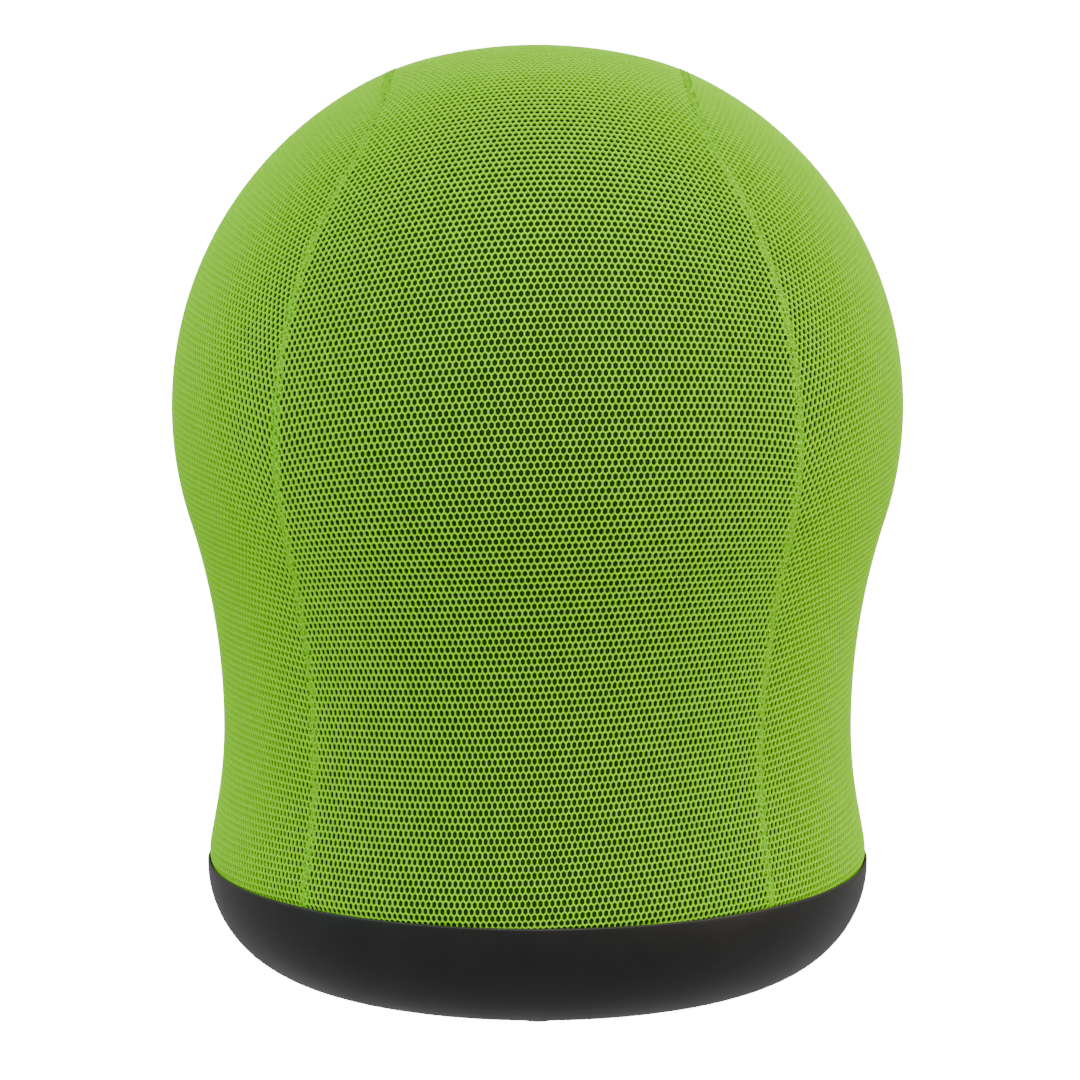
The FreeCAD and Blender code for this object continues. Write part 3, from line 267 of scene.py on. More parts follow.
# ---------------------------------------------------------------- seat tray
# The moulded dish that closes the seat from below and stretches the foot of the cover: black plastic,
# a little greyer and rougher than the bowl.
tray = Finish("tray_plastic")
tray_cloud = tray.place.cloudy(40, 4)
tray.feed(Base_Color=tray_cloud.colours((0.020, 0.020, 0.021), (0.036, 0.035, 0.035)),
          Roughness=0.5 + tray_cloud * 0.12,
          Normal=tray.place.cells(1300).relief(0.03))
dress(["seat_tray"], tray.material)

# ---------------------------------------------------------------- foam sleeves
# Four lengths of split closed-cell foam pipe pushed over the tube ring where the ball rests. Each has
# a slit along its underside, soft ends and the fine pitted skin of such foam.
foam = Finish("closed_cell_foam", Specular_IOR_Level=0.3, Sheen_Weight=0.2)
pits = foam.place.cells(900).between(0.05, 0.5)
# The pits are painted darker than the skin around them as painted shade, over a random mottle.
pit_shade_and_mottle = pits * 0.5 + foam.place.cloudy(120, 3) * 0.5
foam.feed(Base_Color=pit_shade_and_mottle.colours((0.012, 0.012, 0.013), (0.045, 0.045, 0.047)),
          Roughness=0.8 + pits * 0.15,
          Normal=pits.relief(0.25))


def grid_faces(rows, columns, close_rows=False, close_columns=False):
    """The four-cornered faces of a net of points laid out row by row."""
    row = np.arange(rows if close_rows else rows - 1)[:, None]
    column = np.arange(columns if close_columns else columns - 1)[None]
    row, column = (a.ravel() for a in np.broadcast_arrays(row, column))
    next_row, next_column = (row + 1) % rows, (column + 1) % columns
    return np.stack([row * columns + column, row * columns + next_column,
                     next_row * columns + next_column, next_row * columns + column], 1)


ring_radius, ring_up, sleeve_radius, bore_radius, sleeve_sweep = 0.146, 0.16831, 0.015, 0.0113, 72.0
soft_end, slit_depth, ripple_depth = 0.0025, 0.0012, 0.0003
for number, middle in zip(range(1, 5), (90, 180, 270, 0)):
    half = math.radians(sleeve_sweep / 2)
    end = soft_end / ring_radius
    along = np.concatenate([[-half, -half, -half + end * 0.3, -half + end],
                            np.linspace(-half + 2 * end, half - 2 * end, 60),
                            [half - end, half - end * 0.3, half, half],
                            np.linspace(half - end, -half + end, 30)])
    thick = np.concatenate([[bore_radius, 0.0136, 0.0145, 0.0149], np.full(60, sleeve_radius),
                            [0.0149, 0.0145, 0.0136, bore_radius], np.full(30, bore_radius)])
    outside = thick > bore_radius
    around = np.linspace(0, 2 * math.pi, 48, endpoint=False)
    slit = np.exp(-(((around - 1.5 * math.pi) / 0.07) ** 2))
    ripple = ripple_depth * (1 + np.sin(along[:, None] * 40 + 3 * np.sin(around[None] * 2)))
    radius = thick[:, None] - outside[:, None] * (slit_depth * slit[None] + ripple)
    turn = math.radians(middle) + along[:, None]
    across = ring_radius + radius * np.cos(around)
    points = np.stack([across * np.cos(turn), across * np.sin(turn), ring_up + radius * np.sin(around)], -1)
    sleeve = built(f"foam_sleeve_{number}", points.reshape(-1, 3),
                   grid_faces(len(along), len(around), True, True), [foam.material])
    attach(sleeve, "seat")
    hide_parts(f"ring_sleeve_{number}")

# ---------------------------------------------------------------- outline of cover and ball
# Ball and cover share one outline, turned about the upright axis: a flattened crown, the shoulder, the
# round ball, a hollow waist, a flared skirt and the bulge that tucks in behind the bowl's rim.
ball_up, ball_radius = 0.3515, 0.22225
crown_radius, crown_up, shoulder_radius = 0.2737, 0.5705 - 0.2737, 0.173
apart = ball_up - crown_up
to_crown, to_ball = crown_radius - shoulder_radius, ball_radius - shoulder_radius
shoulder_up = (to_crown**2 - to_ball**2 + apart**2) / (2 * apart)
shoulder_across = math.sqrt(to_crown**2 - shoulder_up**2)
crown_end = 90 - math.degrees(math.atan2(shoulder_across, shoulder_up))
ball_start = 90 - math.degrees(math.atan2(shoulder_across, shoulder_up - apart))
leave, flare, waist_bend, skirt_bend, bulge_bend, curl_bend = 17.5, 10.5, 0.421, 0.280, 0.050, 0.016
skirt_foot, cover_foot = 0.087, 0.0705
waist_across = (ball_radius + waist_bend) * math.cos(math.radians(leave)) - waist_bend
waist_up = ball_up - (ball_radius + waist_bend) * math.sin(math.radians(leave))
skirt_end = waist_across + skirt_bend * (1 - math.cos(math.radians(flare)))
flare_drop = waist_up - skirt_bend * math.sin(math.radians(flare)) - skirt_foot
bulge_across = (skirt_end + flare_drop * math.tan(math.radians(flare))
                - bulge_bend * math.cos(math.radians(flare)))
bulge_up = skirt_foot - bulge_bend * math.sin(math.radians(flare))
curl_end = -math.degrees(math.asin((bulge_up - cover_foot) / curl_bend))
outline = []
for centre, height, bend, first, last in (
        (0, crown_up, crown_radius, 90, crown_end),
        (shoulder_across, crown_up + shoulder_up, shoulder_radius, crown_end, ball_start),
        (0, ball_up, ball_radius, ball_start, -leave),
        (waist_across + waist_bend, waist_up, -waist_bend, -leave, 0),
        (waist_across + skirt_bend, waist_up, -skirt_bend, 0, flare),
        (bulge_across, bulge_up, bulge_bend, flare, 0),
        (bulge_across + bulge_bend - curl_bend, bulge_up, curl_bend, 0, curl_end)):
    tilt = np.radians(np.linspace(first, last, 160))
    outline.append(np.stack([centre + bend * np.cos(tilt), height + bend * np.sin(tilt), tilt], 1))
outline = np.concatenate(outline)
outline_elevation = np.arctan2(outline[:, 1] - ball_up, outline[:, 0])
top = outline_elevation >= -0.001
outline_reach = np.hypot(outline[:, 0], outline[:, 1] - ball_up)


def skin(points, inset=0.0):
    """Points moved on to the cover's skin, or this far inside it, and the way out of the skin there."""
    level = np.hypot(points[:, 0], points[:, 1])
    elevation = np.arctan2(points[:, 2] - ball_up, level)
    high = elevation > 0
    reach = np.interp(elevation, outline_elevation[top][::-1], outline_reach[top][::-1])
    radius = np.where(high, reach * np.cos(elevation),
                      np.interp(points[:, 2], outline[::-1, 1], outline[::-1, 0]))
    up = np.where(high, ball_up + reach * np.sin(elevation), np.maximum(points[:, 2], cover_foot))
    tilt = np.where(high, np.interp(elevation, outline_elevation[top][::-1], outline[top, 2][::-1]),
                    np.interp(points[:, 2], outline[::-1, 1], outline[::-1, 2]))
    way = points[:, :2] / np.maximum(level, 1e-9)[:, None]
    out = np.stack([way[:, 0] * np.cos(tilt), way[:, 1] * np.cos(tilt), np.sin(tilt)], 1)
    return np.stack([way[:, 0] * radius, way[:, 1] * radius, up], 1) - out * np.reshape(inset, (-1, 1)), out


# ---------------------------------------------------------------- inflated ball
# A thick dark vinyl exercise ball, moulded hollow, with rings of low ribs about the axis of its valve,
# a smooth belt with the mould line round the middle and a thicker collar at the valve's hole.
vinyl = Finish("ball_vinyl", Coat_Roughness=0.3, Coat_Weight=0.15)
haze = vinyl.place.cloudy(30, 4)
vinyl.feed(Base_Color=haze.colours((0.022, 0.026, 0.020), (0.040, 0.044, 0.036)),
           Roughness=0.42 + haze * 0.16,
           Normal=(vinyl.place.cloudy(1200) + haze).relief(0.02))
dress(["valve_sleeve"], vinyl.material)
slope = math.radians(60)
valve_way = np.array([0, math.cos(slope), -math.sin(slope)])
valve_side = np.array([0, math.sin(slope), math.cos(slope)])
cover_depth, ball_wall, hole = 0.0033, 0.0016, 0.0051
ball_skin = ball_radius - cover_depth
opening = math.asin(hole / ball_skin)
outer_angle = np.linspace(opening, math.pi - 0.002, 330)
inner_angle = np.linspace(math.pi - 0.002, opening, 90)
angle = np.concatenate([outer_angle, inner_angle])
turn = np.linspace(0, 2 * math.pi, 128, endpoint=False)
way = (np.cos(angle)[:, None, None] * valve_way
       + np.sin(angle)[:, None, None] * (np.cos(turn)[None, :, None] * np.array([1.0, 0, 0])
                                         + np.sin(turn)[None, :, None] * valve_side))
elevation = np.arcsin(np.clip(way[..., 2], -1, 1))
reach = np.interp(elevation, outline_elevation[top][::-1], outline_reach[top][::-1]) - cover_depth
ribbed = np.clip((np.abs(angle - math.pi / 2) - 0.30) / 0.06, 0, 1) * np.clip((angle - 0.16) / 0.05, 0, 1)
ribs = 0.00035 * ribbed * (0.5 - 0.5 * np.cos(angle * ball_skin / 0.0085 * 2 * math.pi))
mould_line = 0.0002 * (1 - np.exp(-(((angle - math.pi / 2) * ball_skin / 0.0012) ** 2)))
inward = np.where(np.arange(len(angle)) < len(outer_angle), ribs + mould_line, ball_wall)
points = (way * (reach - inward[:, None])[..., None]).reshape(-1, 3) + (0, 0, ball_up)
columns, last = len(turn), len(outer_angle) - 1
faces = grid_faces(len(angle), columns, True, True)
cap = (last * columns <= faces[:, 0]) & (faces[:, 0] < (last + 1) * columns)
ball = built("exercise_ball", points,
             [faces[~cap], np.arange(last * columns, (last + 1) * columns)[None],
              np.arange((last + 1) * columns, (last + 2) * columns)[None, ::-1]], [vinyl.material])
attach(ball, "seat")
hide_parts("inflated_ball")

# ---------------------------------------------------------------- valve plug
# A small push-in plug of pale satin plastic, low at the back of the ball, with a rounded head.
plug = Finish("plug_plastic", Subsurface_Weight=0.1, Subsurface_Radius=(0.002, 0.002, 0.002))
plug_cloud = plug.place.cloudy(300, 3)
plug.feed(Base_Color=plug_cloud.colours((0.70, 0.70, 0.68), (0.80, 0.80, 0.77)),
          Roughness=0.34 + plug_cloud * 0.12,
          Normal=plug.place.cloudy(2400).relief(0.01))
dress(["valve_plug"], plug.material)


# ---------------------------------------------------------------- cover seams
# The cover is three panels: one over the top from the front foot to the back foot, and one at each
# side. Beside every join the two edges lap on the inside, and a rolled ridge is whipped over it.
def blended(name, fresh, deep, **fixed):
    """Green polyester yarn: fine filaments, with the colour a little uneven along it."""
    yarn = Finish(name, Roughness=0.5, **fixed)
    strand = yarn.place.cloudy(1500, 2)
    lot = yarn.place.cloudy(9, 2)
    yarn.feed(Base_Color=(strand * 0.6 + lot * 0.4).colours(deep, fresh), Normal=strand.relief(0.12))
    return yarn.material


# The second yarn is a darker copy of the first, painted shade for the walls of the cells' holes. The seam
# ridge and its stitches are drawn in it too.
face_yarn = blended("mesh_face_yarn", (0.37, 0.90, 0.005), (0.25, 0.70, 0.003), Specular_IOR_Level=0.12)
painted_shade_yarn = blended("mesh_yarn_painted_shade", (0.24, 0.64, 0.004), (0.17, 0.50, 0.002), Specular_IOR_Level=0.05)
seam_slant = math.sin(math.radians(43.2))
seam_turn = 0.1515
seam_start = math.sqrt(ball_radius**2 - seam_turn**2) * seam_slant
seam_slope = -seam_turn / math.sqrt(ball_radius**2 - seam_turn**2) * seam_slant
seam_bow = (0.0882 - seam_start - seam_slope * 0.053) / 0.053**2


def seam_across(up):
    """How far a seam is from the middle plane at a height."""
    over = up - ball_up - seam_turn
    below = np.interp(up, outline[::-1, 1], outline[::-1, 0]) * seam_slant
    return np.where(over < 0, below, seam_start + seam_slope * over + seam_bow * over**2)


low, high = 0.54, 0.565
for _ in range(40):
    middle = (low + high) / 2
    inside = seam_across(middle) < np.interp(middle, outline[::-1, 1], outline[::-1, 0])
    low, high = (middle, high) if inside else (low, middle)
seam_top = low
ups = cover_foot + 0.0002 + (seam_top - cover_foot - 0.0002) * np.sin(np.linspace(0, math.pi / 2, 1500))
acrosses = seam_across(ups)
backs = np.sqrt(np.maximum(np.interp(ups, outline[::-1, 1], outline[::-1, 0]) ** 2 - acrosses**2, 0))
half_seam = np.stack([acrosses, -backs, ups], 1)
right_seam = np.concatenate([half_seam[:-1], half_seam[::-1] * (1, -1, 1)])
travel = np.concatenate([[0], np.cumsum(np.linalg.norm(np.diff(right_seam, axis=0), axis=1))])
even = np.linspace(0, travel[-1], int(travel[-1] / 0.0009))
right_seam = skin(np.stack([np.interp(even, travel, right_seam[:, k]) for k in range(3)], 1))[0]


def across_of(line, out):
    """The way along a line and the way across it, in the skin."""
    along = np.gradient(line, axis=0)
    along /= np.linalg.norm(along, axis=1)[:, None]
    side = np.cross(out, along)
    return along, side / np.linalg.norm(side, axis=1)[:, None]


def band(line, profile):
    """Points of a strip that lies in the skin along a line, with a profile of (across, inset) pairs."""
    side = across_of(line, skin(line)[1])[1]
    laid = [skin(line + side * across, inset)[0] for across, inset in profile]
    return np.stack(laid, 1).reshape(-1, 3)


def band_faces(count, around):
    """The faces of a closed strip, with its two ends."""
    return [grid_faces(count, around, False, True), np.arange(around)[None, ::-1],
            np.arange((count - 1) * around, count * around)[None]]


def joined(*groups):
    """Several sets of points and faces as one."""
    points, faces, start = [], [], 0
    for some_points, some_faces in groups:
        points.append(some_points)
        faces += [face + start for face in some_faces]
        start += len(some_points)
    return np.concatenate(points), faces


def stitches(line, spacing, half_width, slant, thickness, inset):
    """Short thread loops across a line, as small six-sided tubes, each a little different."""
    along, side = across_of(line, skin(line)[1])
    step = np.linalg.norm(np.diff(line[:2], axis=0))
    at = np.arange(2, len(line) - 3, spacing / step).astype(int)
    shake = np.sin(at * 12.9898) * 43758.5453 % 1
    sections = np.array([-1.0, -0.6, 0.0, 0.6, 1.0])
    lift = np.array([0.9, 0.25, 0.0, 0.25, 0.9])
    across = sections * half_width * (0.85 + 0.3 * shake[:, None])
    forward = sections * slant * (0.7 + 0.6 * shake[::-1, None])
    middle = (line[at][:, None] + side[at][:, None] * across[..., None]
              + along[at][:, None] * forward[..., None])
    placed, out = skin(middle.reshape(-1, 3), np.tile(inset + lift * thickness * 2, len(at)))
    placed, out = placed.reshape(len(at), 5, 3), out.reshape(len(at), 5, 3)
    run = np.gradient(placed, axis=1)
    run /= np.linalg.norm(run, axis=2)[..., None]
    other = np.cross(run, out)
    around = np.linspace(0, 2 * math.pi, 6, endpoint=False)
    tube = (placed[:, :, None] + thickness * (np.cos(around)[None, None, :, None] * out[:, :, None]
                                              + np.sin(around)[None, None, :, None] * other[:, :, None]))
    first = np.arange(len(at))[:, None, None] * 30
    faces = grid_faces(5, 6, False, True)[None] + first
    ends = np.array([[0, 1, 2, 3, 4, 5], [29, 28, 27, 26, 25, 24]])[None] + first
    return tube.reshape(-1, 3), [faces.reshape(-1, 4), ends.reshape(-1, 6)]


lap = Finish("seam_lap", Roughness=0.6, Specular_IOR_Level=0.1)
lap_hole = lap.place.cells(420).between(0.36, 0.52)
lap.feed(Base_Color=(1 - lap_hole).colours((0.20, 0.56, 0.008), (0.03, 0.09, 0.003)),
         Normal=lap_hole.relief(0.5))
lap_profile = [(-0.0036, 0.0012), (-0.0033, 0.0008), (0, 0.0006), (0.0033, 0.0008), (0.0036, 0.0012),
               (0, 0.0014)]
ridge_profile = [(-0.0005, 0.0010), (-0.0004, 0.0006), (0, 0.0004), (0.0004, 0.0006), (0.0005, 0.0010),
                 (0, 0.0012)]
stitch_rows = ((-0.0021, 0.0034, 0.0010, 0.0009), (0, 0.0027, 0.0009, -0.0007),
               (0.0021, 0.0031, 0.0010, 0.0010))
thread_radius = 0.00026
for name, flip in (("right", 1), ("left", -1)):
    line = right_seam * (flip, 1, 1)
    if flip < 0:
        line = line[::-1]
    coarse, fine = line[::4], line[::2]
    lapped = built(f"seam_lap_{name}", *joined((band(coarse, lap_profile), band_faces(len(coarse), 6))),
                   [lap.material])
    sideways = across_of(line, skin(line)[1])[1]
    thread = joined((band(fine, ridge_profile), band_faces(len(fine), 6)),
                    *(stitches(skin(line + sideways * shift)[0], gap, width, slant, thread_radius, -0.0001)
                      for shift, gap, width, slant in stitch_rows))
    # The ridge and its stitches take the darker copy of the yarn that is painted shade in the cells.
    ridge = built(f"seam_ridge_{name}", *thread, [painted_shade_yarn])
    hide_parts(f"cover_{name}_seam")
    for piece in (lapped, ridge):
        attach(piece, "seat")

# ---------------------------------------------------------------- cover mesh
# Each panel is one width of green spacer mesh, knitted in long six-sided cells whose rows are set
# half a cell apart. It is stretched over the ball, so the cells open wider there than at the waist.
slot_up, slot_half, slot_turn = waist_up, 0.006, math.radians(40)
lengths = np.concatenate([[0], np.cumsum(np.hypot(np.diff(outline[:, 0]), np.diff(outline[:, 1])))])
equator = np.interp(0, outline_elevation[::-1], lengths[::-1])
below = lengths > equator
drop_table = np.concatenate([[0], equator - lengths[below]])[::-1]
drop_up = np.concatenate([[ball_up], outline[below, 1]])[::-1]
centre_line = np.linspace(drop_table[0] - 0.02, ball_radius * (math.pi / 2 + 0.2), 4000)
centre_up = np.where(centre_line < 0, np.interp(centre_line, drop_table, drop_up),
                     ball_up + ball_radius * np.sin(np.minimum(centre_line / ball_radius, math.pi / 2)))
row_gap = 0.00393 + 0.00036 * np.exp(-(((centre_up - 0.205) / 0.105) ** 2))
row_table = np.concatenate([[0], np.cumsum(np.diff(centre_line) * 2 / (row_gap[1:] + row_gap[:-1]))])
row_table -= np.interp(ball_radius * math.pi / 2, centre_line, row_table)


row_lean, column_crowding, crown_gather, front_arch, top_arch = 0.038, 0.041, 0.1, 0.19, 0.81
tip_share, side_share, mouth_depth, cell_depth, most_cells = 0.82, 0.765, 0.00028, 0.0015, 8000


def knit_place(column, row, half_angle, half_count, facing):
    """The place in the cover of a column and row of a panel's knit, for the panel that faces one way."""
    over = row > 0
    lean = np.where(over, -row_lean, row_lean)
    wanted = np.interp(-np.abs(row), row_table, centre_line)
    share, turn, along = column / half_count, column / half_count * half_angle, wanted
    part = share
    for _ in range(14):
        rise = np.maximum(along, 0) / ball_radius
        elevation = np.arcsin(np.clip(np.cos(turn) * np.sin(rise), -1, 1))
        reach = np.interp(elevation, outline_elevation[top][::-1], outline_reach[top][::-1])
        up = np.where(along < 0, np.interp(along, drop_table, drop_up), ball_up + reach * np.sin(elevation))
        crowding = column_crowding * np.clip((up - cover_foot) / 0.281, 0, 1) ** 0.7
        part = share / (1 + crowding * (1 - part**2))
        gather = 1 + crown_gather * (np.maximum(up - 0.480, 0) / 0.075) ** 2
        level = np.sin(part * half_angle) * ball_radius / (gather * reach)
        turn = np.where(along < 0, part * half_angle, np.arcsin(np.clip(level, -0.95, 0.95)))
        arch = np.where(along < 0, front_arch * np.clip((up - 0.09) / 0.2615, 0, 1) ** 1.25,
                        np.tan(math.pi / 4 - rise / 2) * (front_arch - top_arch * np.sin(rise)))
        along = wanted - arch * ball_radius * (1 / np.cos(turn) - 1) + lean * ball_radius * turn
    rise = np.maximum(along, 0) / ball_radius
    radius = np.interp(up, outline[::-1, 1], outline[::-1, 0])
    low_x, low_y = radius * np.sin(turn), -radius * np.cos(turn)
    high_x, high_y = reach * np.sin(turn), -reach * np.cos(turn) * np.cos(rise)
    x, y = np.where(along < 0, low_x, high_x), np.where(along < 0, low_y, high_y)
    up = np.where(along < 0, up, ball_up + reach * np.cos(turn) * np.sin(rise))
    y = np.where(over, -y, y)
    c, s = math.cos(facing), math.sin(facing)
    return np.stack([x * c - y * s, x * s + y * c, up], 1)


def in_slot(points):
    """Which points lie in the opening for the zip, and how far from its middle round and up they are."""
    round_way = np.arctan2(points[:, 0], points[:, 1])
    up = points[:, 2] - slot_up
    return (np.abs(up) < slot_half) & (np.abs(round_way) < slot_turn), round_way, up


def nearest(points, line):
    """For each point, the nearest point of a line."""
    best = [np.argmin(((some[:, None] - line[None]) ** 2).sum(2), 1)
            for some in np.array_split(points, max(1, len(points) // 400))]
    return line[np.concatenate(best)]


def knit(name, half_angle, half_count, facing, ours):
    """One panel's cells as pieces: a crest round each cell, its hole's edge and the hole's sides."""
    last_row = int(-row_table[0]) + 1
    rows, columns = np.arange(-last_row, last_row + 1), np.arange(-int(half_count) - 6, int(half_count) + 7)
    row, column = (a.ravel() for a in np.meshgrid(rows, columns, indexing="ij"))
    column = column + 0.5 * (row % 2)
    if facing:
        row, column = row[row < 0], column[row < 0]
    ring = np.array([(0, 2), (-1, 1), (-1, -1), (0, -2), (1, -1), (1, 1)])
    tip = knit_place((column[:, None] + ring[:, 0] / 2).ravel(), (row[:, None] + ring[:, 1] / 3).ravel(),
                     half_angle, half_count, facing)
    whole = (ours(tip) & (tip[:, 2] > cover_foot + 0.0004) & ~in_slot(tip)[0]).reshape(-1, 6).sum(1)
    keep = (whole > 1) & (np.abs(row) < last_row)
    row, column = row[keep], column[keep]
    keys = np.stack([(column * 2).astype(int)[:, None] + ring[:, 0], (row * 3)[:, None] + ring[:, 1]], -1)
    corners, index = np.unique(keys.reshape(-1, 2), axis=0, return_inverse=True)
    index = index.reshape(-1, 6)
    crest = knit_place(corners[:, 0] / 2, corners[:, 1] / 3, half_angle, half_count, facing)
    astray = ~ours(crest) & (crest[:, 2] > cover_foot)
    for side in (1, -1):
        of_side = astray & (crest[:, 0] * side > 0)
        crest[of_side] = nearest(crest[of_side], right_seam * (side, 1, 1))
    crest[:, 2] = np.maximum(crest[:, 2], cover_foot + 0.0003)
    held, round_way, up = in_slot(crest)
    upright = (slot_half - np.abs(up)) < (slot_turn - np.abs(round_way)) * waist_across
    edge = np.where(upright, round_way, np.sign(round_way) * slot_turn)
    crest[held, 0], crest[held, 1] = np.sin(edge[held]), np.cos(edge[held])
    crest[held, 2] = np.where(upright, slot_up + np.where(up > 0, slot_half, -slot_half), crest[:, 2])[held]
    crest, _ = skin(crest)
    around = crest[index]
    centre = around.mean(1)
    spoke = around - centre[:, None]
    length = np.linalg.norm(spoke, axis=2)
    shake = (np.sin(row * 12.9898 + column * 78.233) * 43758.5453) % 1
    narrow = np.minimum(1, length.mean(1) / 0.0022)
    share = np.where(np.abs(ring[:, 0]) == 0, tip_share, side_share) * (0.96 + 0.08 * shake[:, None])
    share = (share * narrow[:, None] ** 0.5)[..., None]
    mouth = skin((centre[:, None] + spoke * share).reshape(-1, 3), mouth_depth)[0].reshape(-1, 6, 3)
    deep = skin((centre[:, None] + spoke * share * 1.03).reshape(-1, 3), cell_depth)[0].reshape(-1, 6, 3)
    made = []
    order = np.lexsort((column, row))
    for part, cells in enumerate(np.array_split(order, math.ceil(len(order) / most_cells))):
        own, local = np.unique(index[cells], return_inverse=True)
        local = local.reshape(-1, 6)
        count = len(cells)
        mouth_at = len(own) + np.arange(count * 6).reshape(-1, 6)
        deep_at = mouth_at + count * 6
        points = np.concatenate([crest[own], mouth[cells].reshape(-1, 3), deep[cells].reshape(-1, 3)])
        next_local, next_mouth, next_deep = (np.roll(a, -1, 1) for a in (local, mouth_at, deep_at))
        tops = np.stack([local, next_local, next_mouth, mouth_at], -1).reshape(-1, 4)
        sides = np.stack([mouth_at, next_mouth, next_deep, deep_at], -1).reshape(-1, 4)
        # The hole sides get the darker copy of the yarn as painted shade.
        net = built(f"{name}_{part + 1}", points, np.concatenate([tops, sides]), [face_yarn, painted_shade_yarn],
                    np.repeat([0, 1], [len(tops), len(sides)]))
        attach(net, "seat")
        made.append(net)
    return made


def inside_centre(points):
    return (np.abs(points[:, 0]) < seam_across(points[:, 2])) | (points[:, 2] > seam_top)


centre_nets = knit("mesh_centre", math.radians(43.2), 43.4, 0.0, inside_centre)
right_nets = knit("mesh_right", math.radians(46.8), 46.5, math.pi / 2,
                  lambda points: ~inside_centre(points) & (points[:, 0] > 0))
left_nets = knit("mesh_left", math.radians(46.8), 46.5, -math.pi / 2,
                 lambda points: ~inside_centre(points) & (points[:, 0] < 0))
straight, bend = slot_turn * waist_across - 0.001, 0.0012
side_turn = np.radians(np.concatenate([np.linspace(-90, 90, 7), np.linspace(90, 270, 7)]))
reach_to = np.where(np.arange(14) < 7, straight, -straight)
hole_round = reach_to + bend * np.cos(side_turn)
hole_up = (slot_half - bend + 0.0005) * np.sign(np.sin(side_turn) + 1e-9)
hole_up = np.clip(hole_up + bend * np.sin(side_turn), -slot_half - 0.0003, slot_half + 0.0003)
hole_round, hole_up = np.append(hole_round, hole_round[0]), np.append(hole_up, hole_up[0])
walked = np.concatenate([[0], np.cumsum(np.hypot(np.diff(hole_round), np.diff(hole_up)))])
even = np.linspace(0, walked[-1], 700)
hole_round, hole_up = np.interp(even, walked, hole_round) / waist_across, np.interp(even, walked, hole_up)
rim_line = skin(np.stack([np.sin(hole_round) * waist_across, np.cos(hole_round) * waist_across,
                          slot_up + hole_up], 1))[0]
edge_profile = [(-0.0006, 0.0009), (-0.0005, 0.0003), (0, 0.0001), (0.0005, 0.0003), (0.0006, 0.0009),
                (0, 0.0012)]
opening = built("zip_opening_edge",
                *joined((band(rim_line, edge_profile), band_faces(len(rim_line), 6)),
                        stitches(rim_line, 0.0024, 0.0008, 0.0003, 0.00016, 0.0)),
                [face_yarn])
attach(opening, "seat")
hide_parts("cover_centre_panel")
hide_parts("cover_right_panel")
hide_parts("cover_left_panel")

# ---------------------------------------------------------------- hem binding
# A black webbing tape folded over the cut foot of the cover, drawn in under the tray's edge and held
# there by the hem strip and its screws.
webbing = Finish("hem_webbing", Sheen_Weight=0.25, Roughness=0.85)
around_web = webbing.place.cells(1100).between(0.1, 0.5)
webbing.feed(Base_Color=around_web.colours((0.045, 0.045, 0.047), (0.014, 0.014, 0.015)),
             Normal=around_web.relief(0.2))
low_corner, high_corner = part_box("hem_binding")
hem_low, hem_high, hem_in, hem_out = low_corner[2] + 0.0002, high_corner[2] - 0.0002, 0.1852, 0.1979
turn = np.linspace(0, 2 * math.pi, 540, endpoint=False)[:, None]
corner, hem_puckers, pucker_depth = 0.0012, 180, 0.00012
profile = []
for centre_x, centre_z, start in ((hem_out - corner, hem_high - corner, 0),
                                  (hem_in + corner, hem_high - corner, 90),
                                  (hem_in + corner, hem_low + corner, 180),
                                  (hem_out - corner, hem_low + corner, 270)):
    for step in range(0, 91, 30):
        tilt = math.radians(start + step)
        profile.append((centre_x + corner * math.cos(tilt), centre_z + corner * math.sin(tilt)))
profile = np.array(profile)
pucker = pucker_depth * (np.sin(turn * hem_puckers) - 1)
radius = profile[None, :, 0] + pucker
points = np.stack([radius * np.cos(turn), radius * np.sin(turn), profile[None, :, 1] + 0 * turn], -1)
hem = built("hem_tape", points.reshape(-1, 3), grid_faces(len(turn), len(profile), True, True),
            [webbing.material])
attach(hem, "seat")
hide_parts("hem_binding")


# ---------------------------------------------------------------- zip tapes and teeth
# A nylon zip across the back at the waist, through which the ball goes in flat. Two woven tapes lie
# behind the edges of the mesh, each with a row of moulded teeth along its inner edge.
def arc_block(inner, outer, low, high, start, stop, steps, round_off):
    """A curved bar about the upright axis with rounded edges."""
    shape = np.array([(outer - round_off, low), (outer, low + round_off),
                      (outer, high - round_off), (outer - round_off, high),
                      (inner + round_off, high), (inner, high - round_off),
                      (inner, low + round_off), (inner + round_off, low)])
    turn = np.linspace(start, stop, steps)[:, None]
    radius, up = shape[None, :, 0], shape[None, :, 1] + 0 * turn
    points = np.stack([radius * np.cos(turn), radius * np.sin(turn), up], -1)
    return points.reshape(-1, 3), band_faces(steps, len(shape))


tape_yarn = Finish("zip_tape", Roughness=0.8, Sheen_Weight=0.2)
weft_gap = 0.0007
weft = (tape_yarn.place.height(2) * (2 * math.pi / weft_gap)).math("SINE")
tape_yarn.feed(Base_Color=(weft * 0.3 + 0.5).colours((0.13, 0.26, 0.02), (0.22, 0.40, 0.035)),
               Normal=(weft + tape_yarn.place.cloudy(2500)).relief(0.08))
tooth_plastic = Finish("zip_teeth", Coat_Weight=0.1)
shade = tooth_plastic.place.cloudy(700, 2)
tooth_plastic.feed(Base_Color=shade.colours((0.17, 0.34, 0.03), (0.27, 0.46, 0.05)),
                   Roughness=0.35 + shade * 0.2, Normal=shade.relief(0.03))
tape_inner, tape_outer, teeth_inner, teeth_outer = 0.1881, 0.18905, 0.18735, 0.18975
teeth_near, teeth_far, tooth_share = 0.00045, 0.0028, 0.46
pitch = 0.0022 / 0.1885
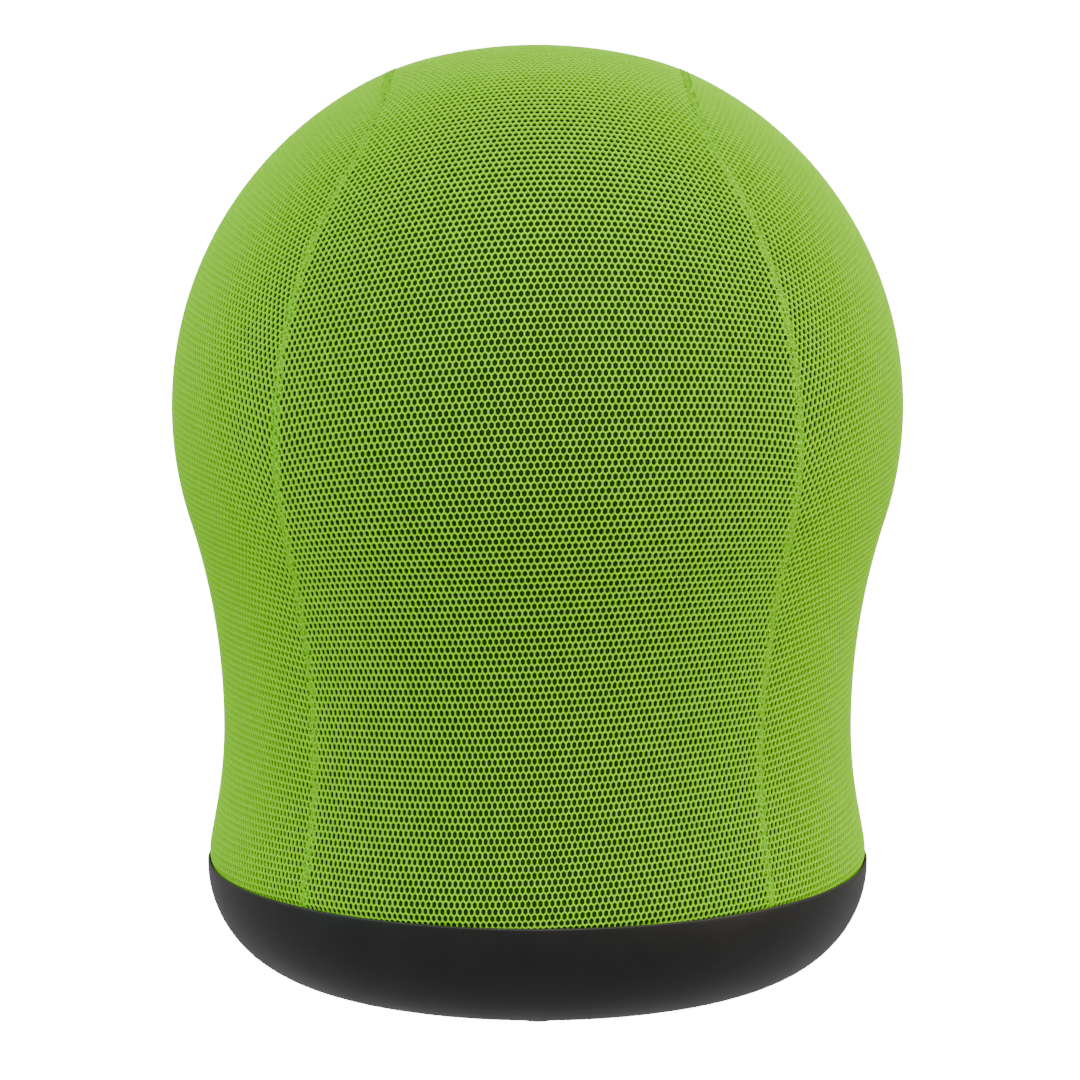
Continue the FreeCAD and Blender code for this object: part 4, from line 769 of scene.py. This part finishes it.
for side, up_sign in (("upper", 1), ("lower", -1)):
    low_corner, high_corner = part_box(f"zip_tape_{side}")
    tape_low, tape_high = low_corner[2] + 0.00005, high_corner[2] - 0.00005
    start = max(math.radians(49.3), math.acos(min(1, high_corner[0] / 0.1891)))
    tape_shape = arc_block(tape_inner, tape_outer, tape_low, tape_high, start, math.pi - start, 240, 0.0002)
    tape = built(f"zip_tape_{side}_woven", *tape_shape, [tape_yarn.material])
    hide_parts(f"zip_tape_{side}")
    low, high = sorted((slot_up + up_sign * teeth_near, slot_up + up_sign * teeth_far))
    first = math.radians(51.2) + (pitch / 2 if up_sign < 0 else 0)
    teeth = [arc_block(teeth_inner, teeth_outer, low, high, at, at + pitch * tooth_share, 3, 0.00025)
             for at in np.arange(first, math.radians(128.6), pitch)]
    row = built(f"zip_teeth_{side}_row", *joined(*teeth), [tooth_plastic.material])
    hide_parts(f"zip_teeth_{side}")
    for piece in (tape, row):
        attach(piece, "seat")

# ---------------------------------------------------------------- zip slider, pull and stops
# Die-cast zinc painted to match the mesh, with the paint worn to bare metal in small random patches.
painted = Finish("zip_paint", Coat_Weight=0.2, Coat_Roughness=0.3)
worn = painted.place.cloudy(350, 4).between(0.62, 0.70)
painted.feed(Base_Color=worn.colours((0.18, 0.36, 0.03), (0.55, 0.54, 0.50)),
             Metallic=worn * 0.9, Roughness=0.36 + worn * 0.1, Normal=painted.place.cloudy(1500).relief(0.02))
dress(["zip_slider", "zip_pull", "zip_stop_closed", "zip_stop_open"], painted.material)

# ---------------------------------------------------------------- inner face of the cover
# The back of the spacer mesh is one close dark knit, which shows through the cells. It is drawn as
# one sheet, pulled tight over the ball and down to the hem, with the zip's opening at the back.
lining = Finish("mesh_inner_face", Roughness=0.9, Specular_IOR_Level=0.12)
knots = lining.place.cells(700).between(0.1, 0.6)
knit_shade = knots * 0.7 + lining.place.cloudy(40, 3) * 0.3
lining.feed(Base_Color=knit_shade.colours((0.027, 0.064, 0.002), (0.012, 0.038, 0.001)),
            Normal=knots.relief(0.2))
inner_depth = 0.0017
heights = [cover_foot + 0.0001, *np.linspace(0.074, slot_up - slot_half - 0.003, 26), slot_up - slot_half,
           slot_up + slot_half, *np.linspace(slot_up + slot_half + 0.003, ball_up, 40)]
rises = np.linspace(0, math.pi / 2, 64)[1:-1]
rings = [(np.interp(up, outline[::-1, 1], outline[::-1, 0]), up) for up in heights]
rings += [(ball_radius * math.cos(rise), ball_up + ball_radius * math.sin(rise)) for rise in rises]
over_gap = 60
turn = math.pi / 2 + np.concatenate([np.linspace(-slot_turn, slot_turn, over_gap + 1),
                                     np.linspace(slot_turn, 2 * math.pi - slot_turn, 181)[1:-1]])
points = np.concatenate([np.stack([radius * np.cos(turn), radius * np.sin(turn), np.full(len(turn), up)], 1)
                         for radius, up in rings])
points = skin(points, inner_depth)[0]
columns = len(turn)
faces = grid_faces(len(rings), columns, False, True)
gap_row = heights.index(slot_up - slot_half)
in_gap = (faces[:, 0] // columns == gap_row) & (faces[:, 0] % columns < over_gap)
last = len(points)
points = np.concatenate([points, [(0, 0, 0.5705 - inner_depth)]])
edge = (len(rings) - 1) * columns + np.arange(columns)
crown = np.stack([edge, np.roll(edge, -1), np.full(columns, last)], 1)
inner = built("mesh_inner_face", points, [faces[~in_gap], crown], [lining.material])
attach(inner, "seat")
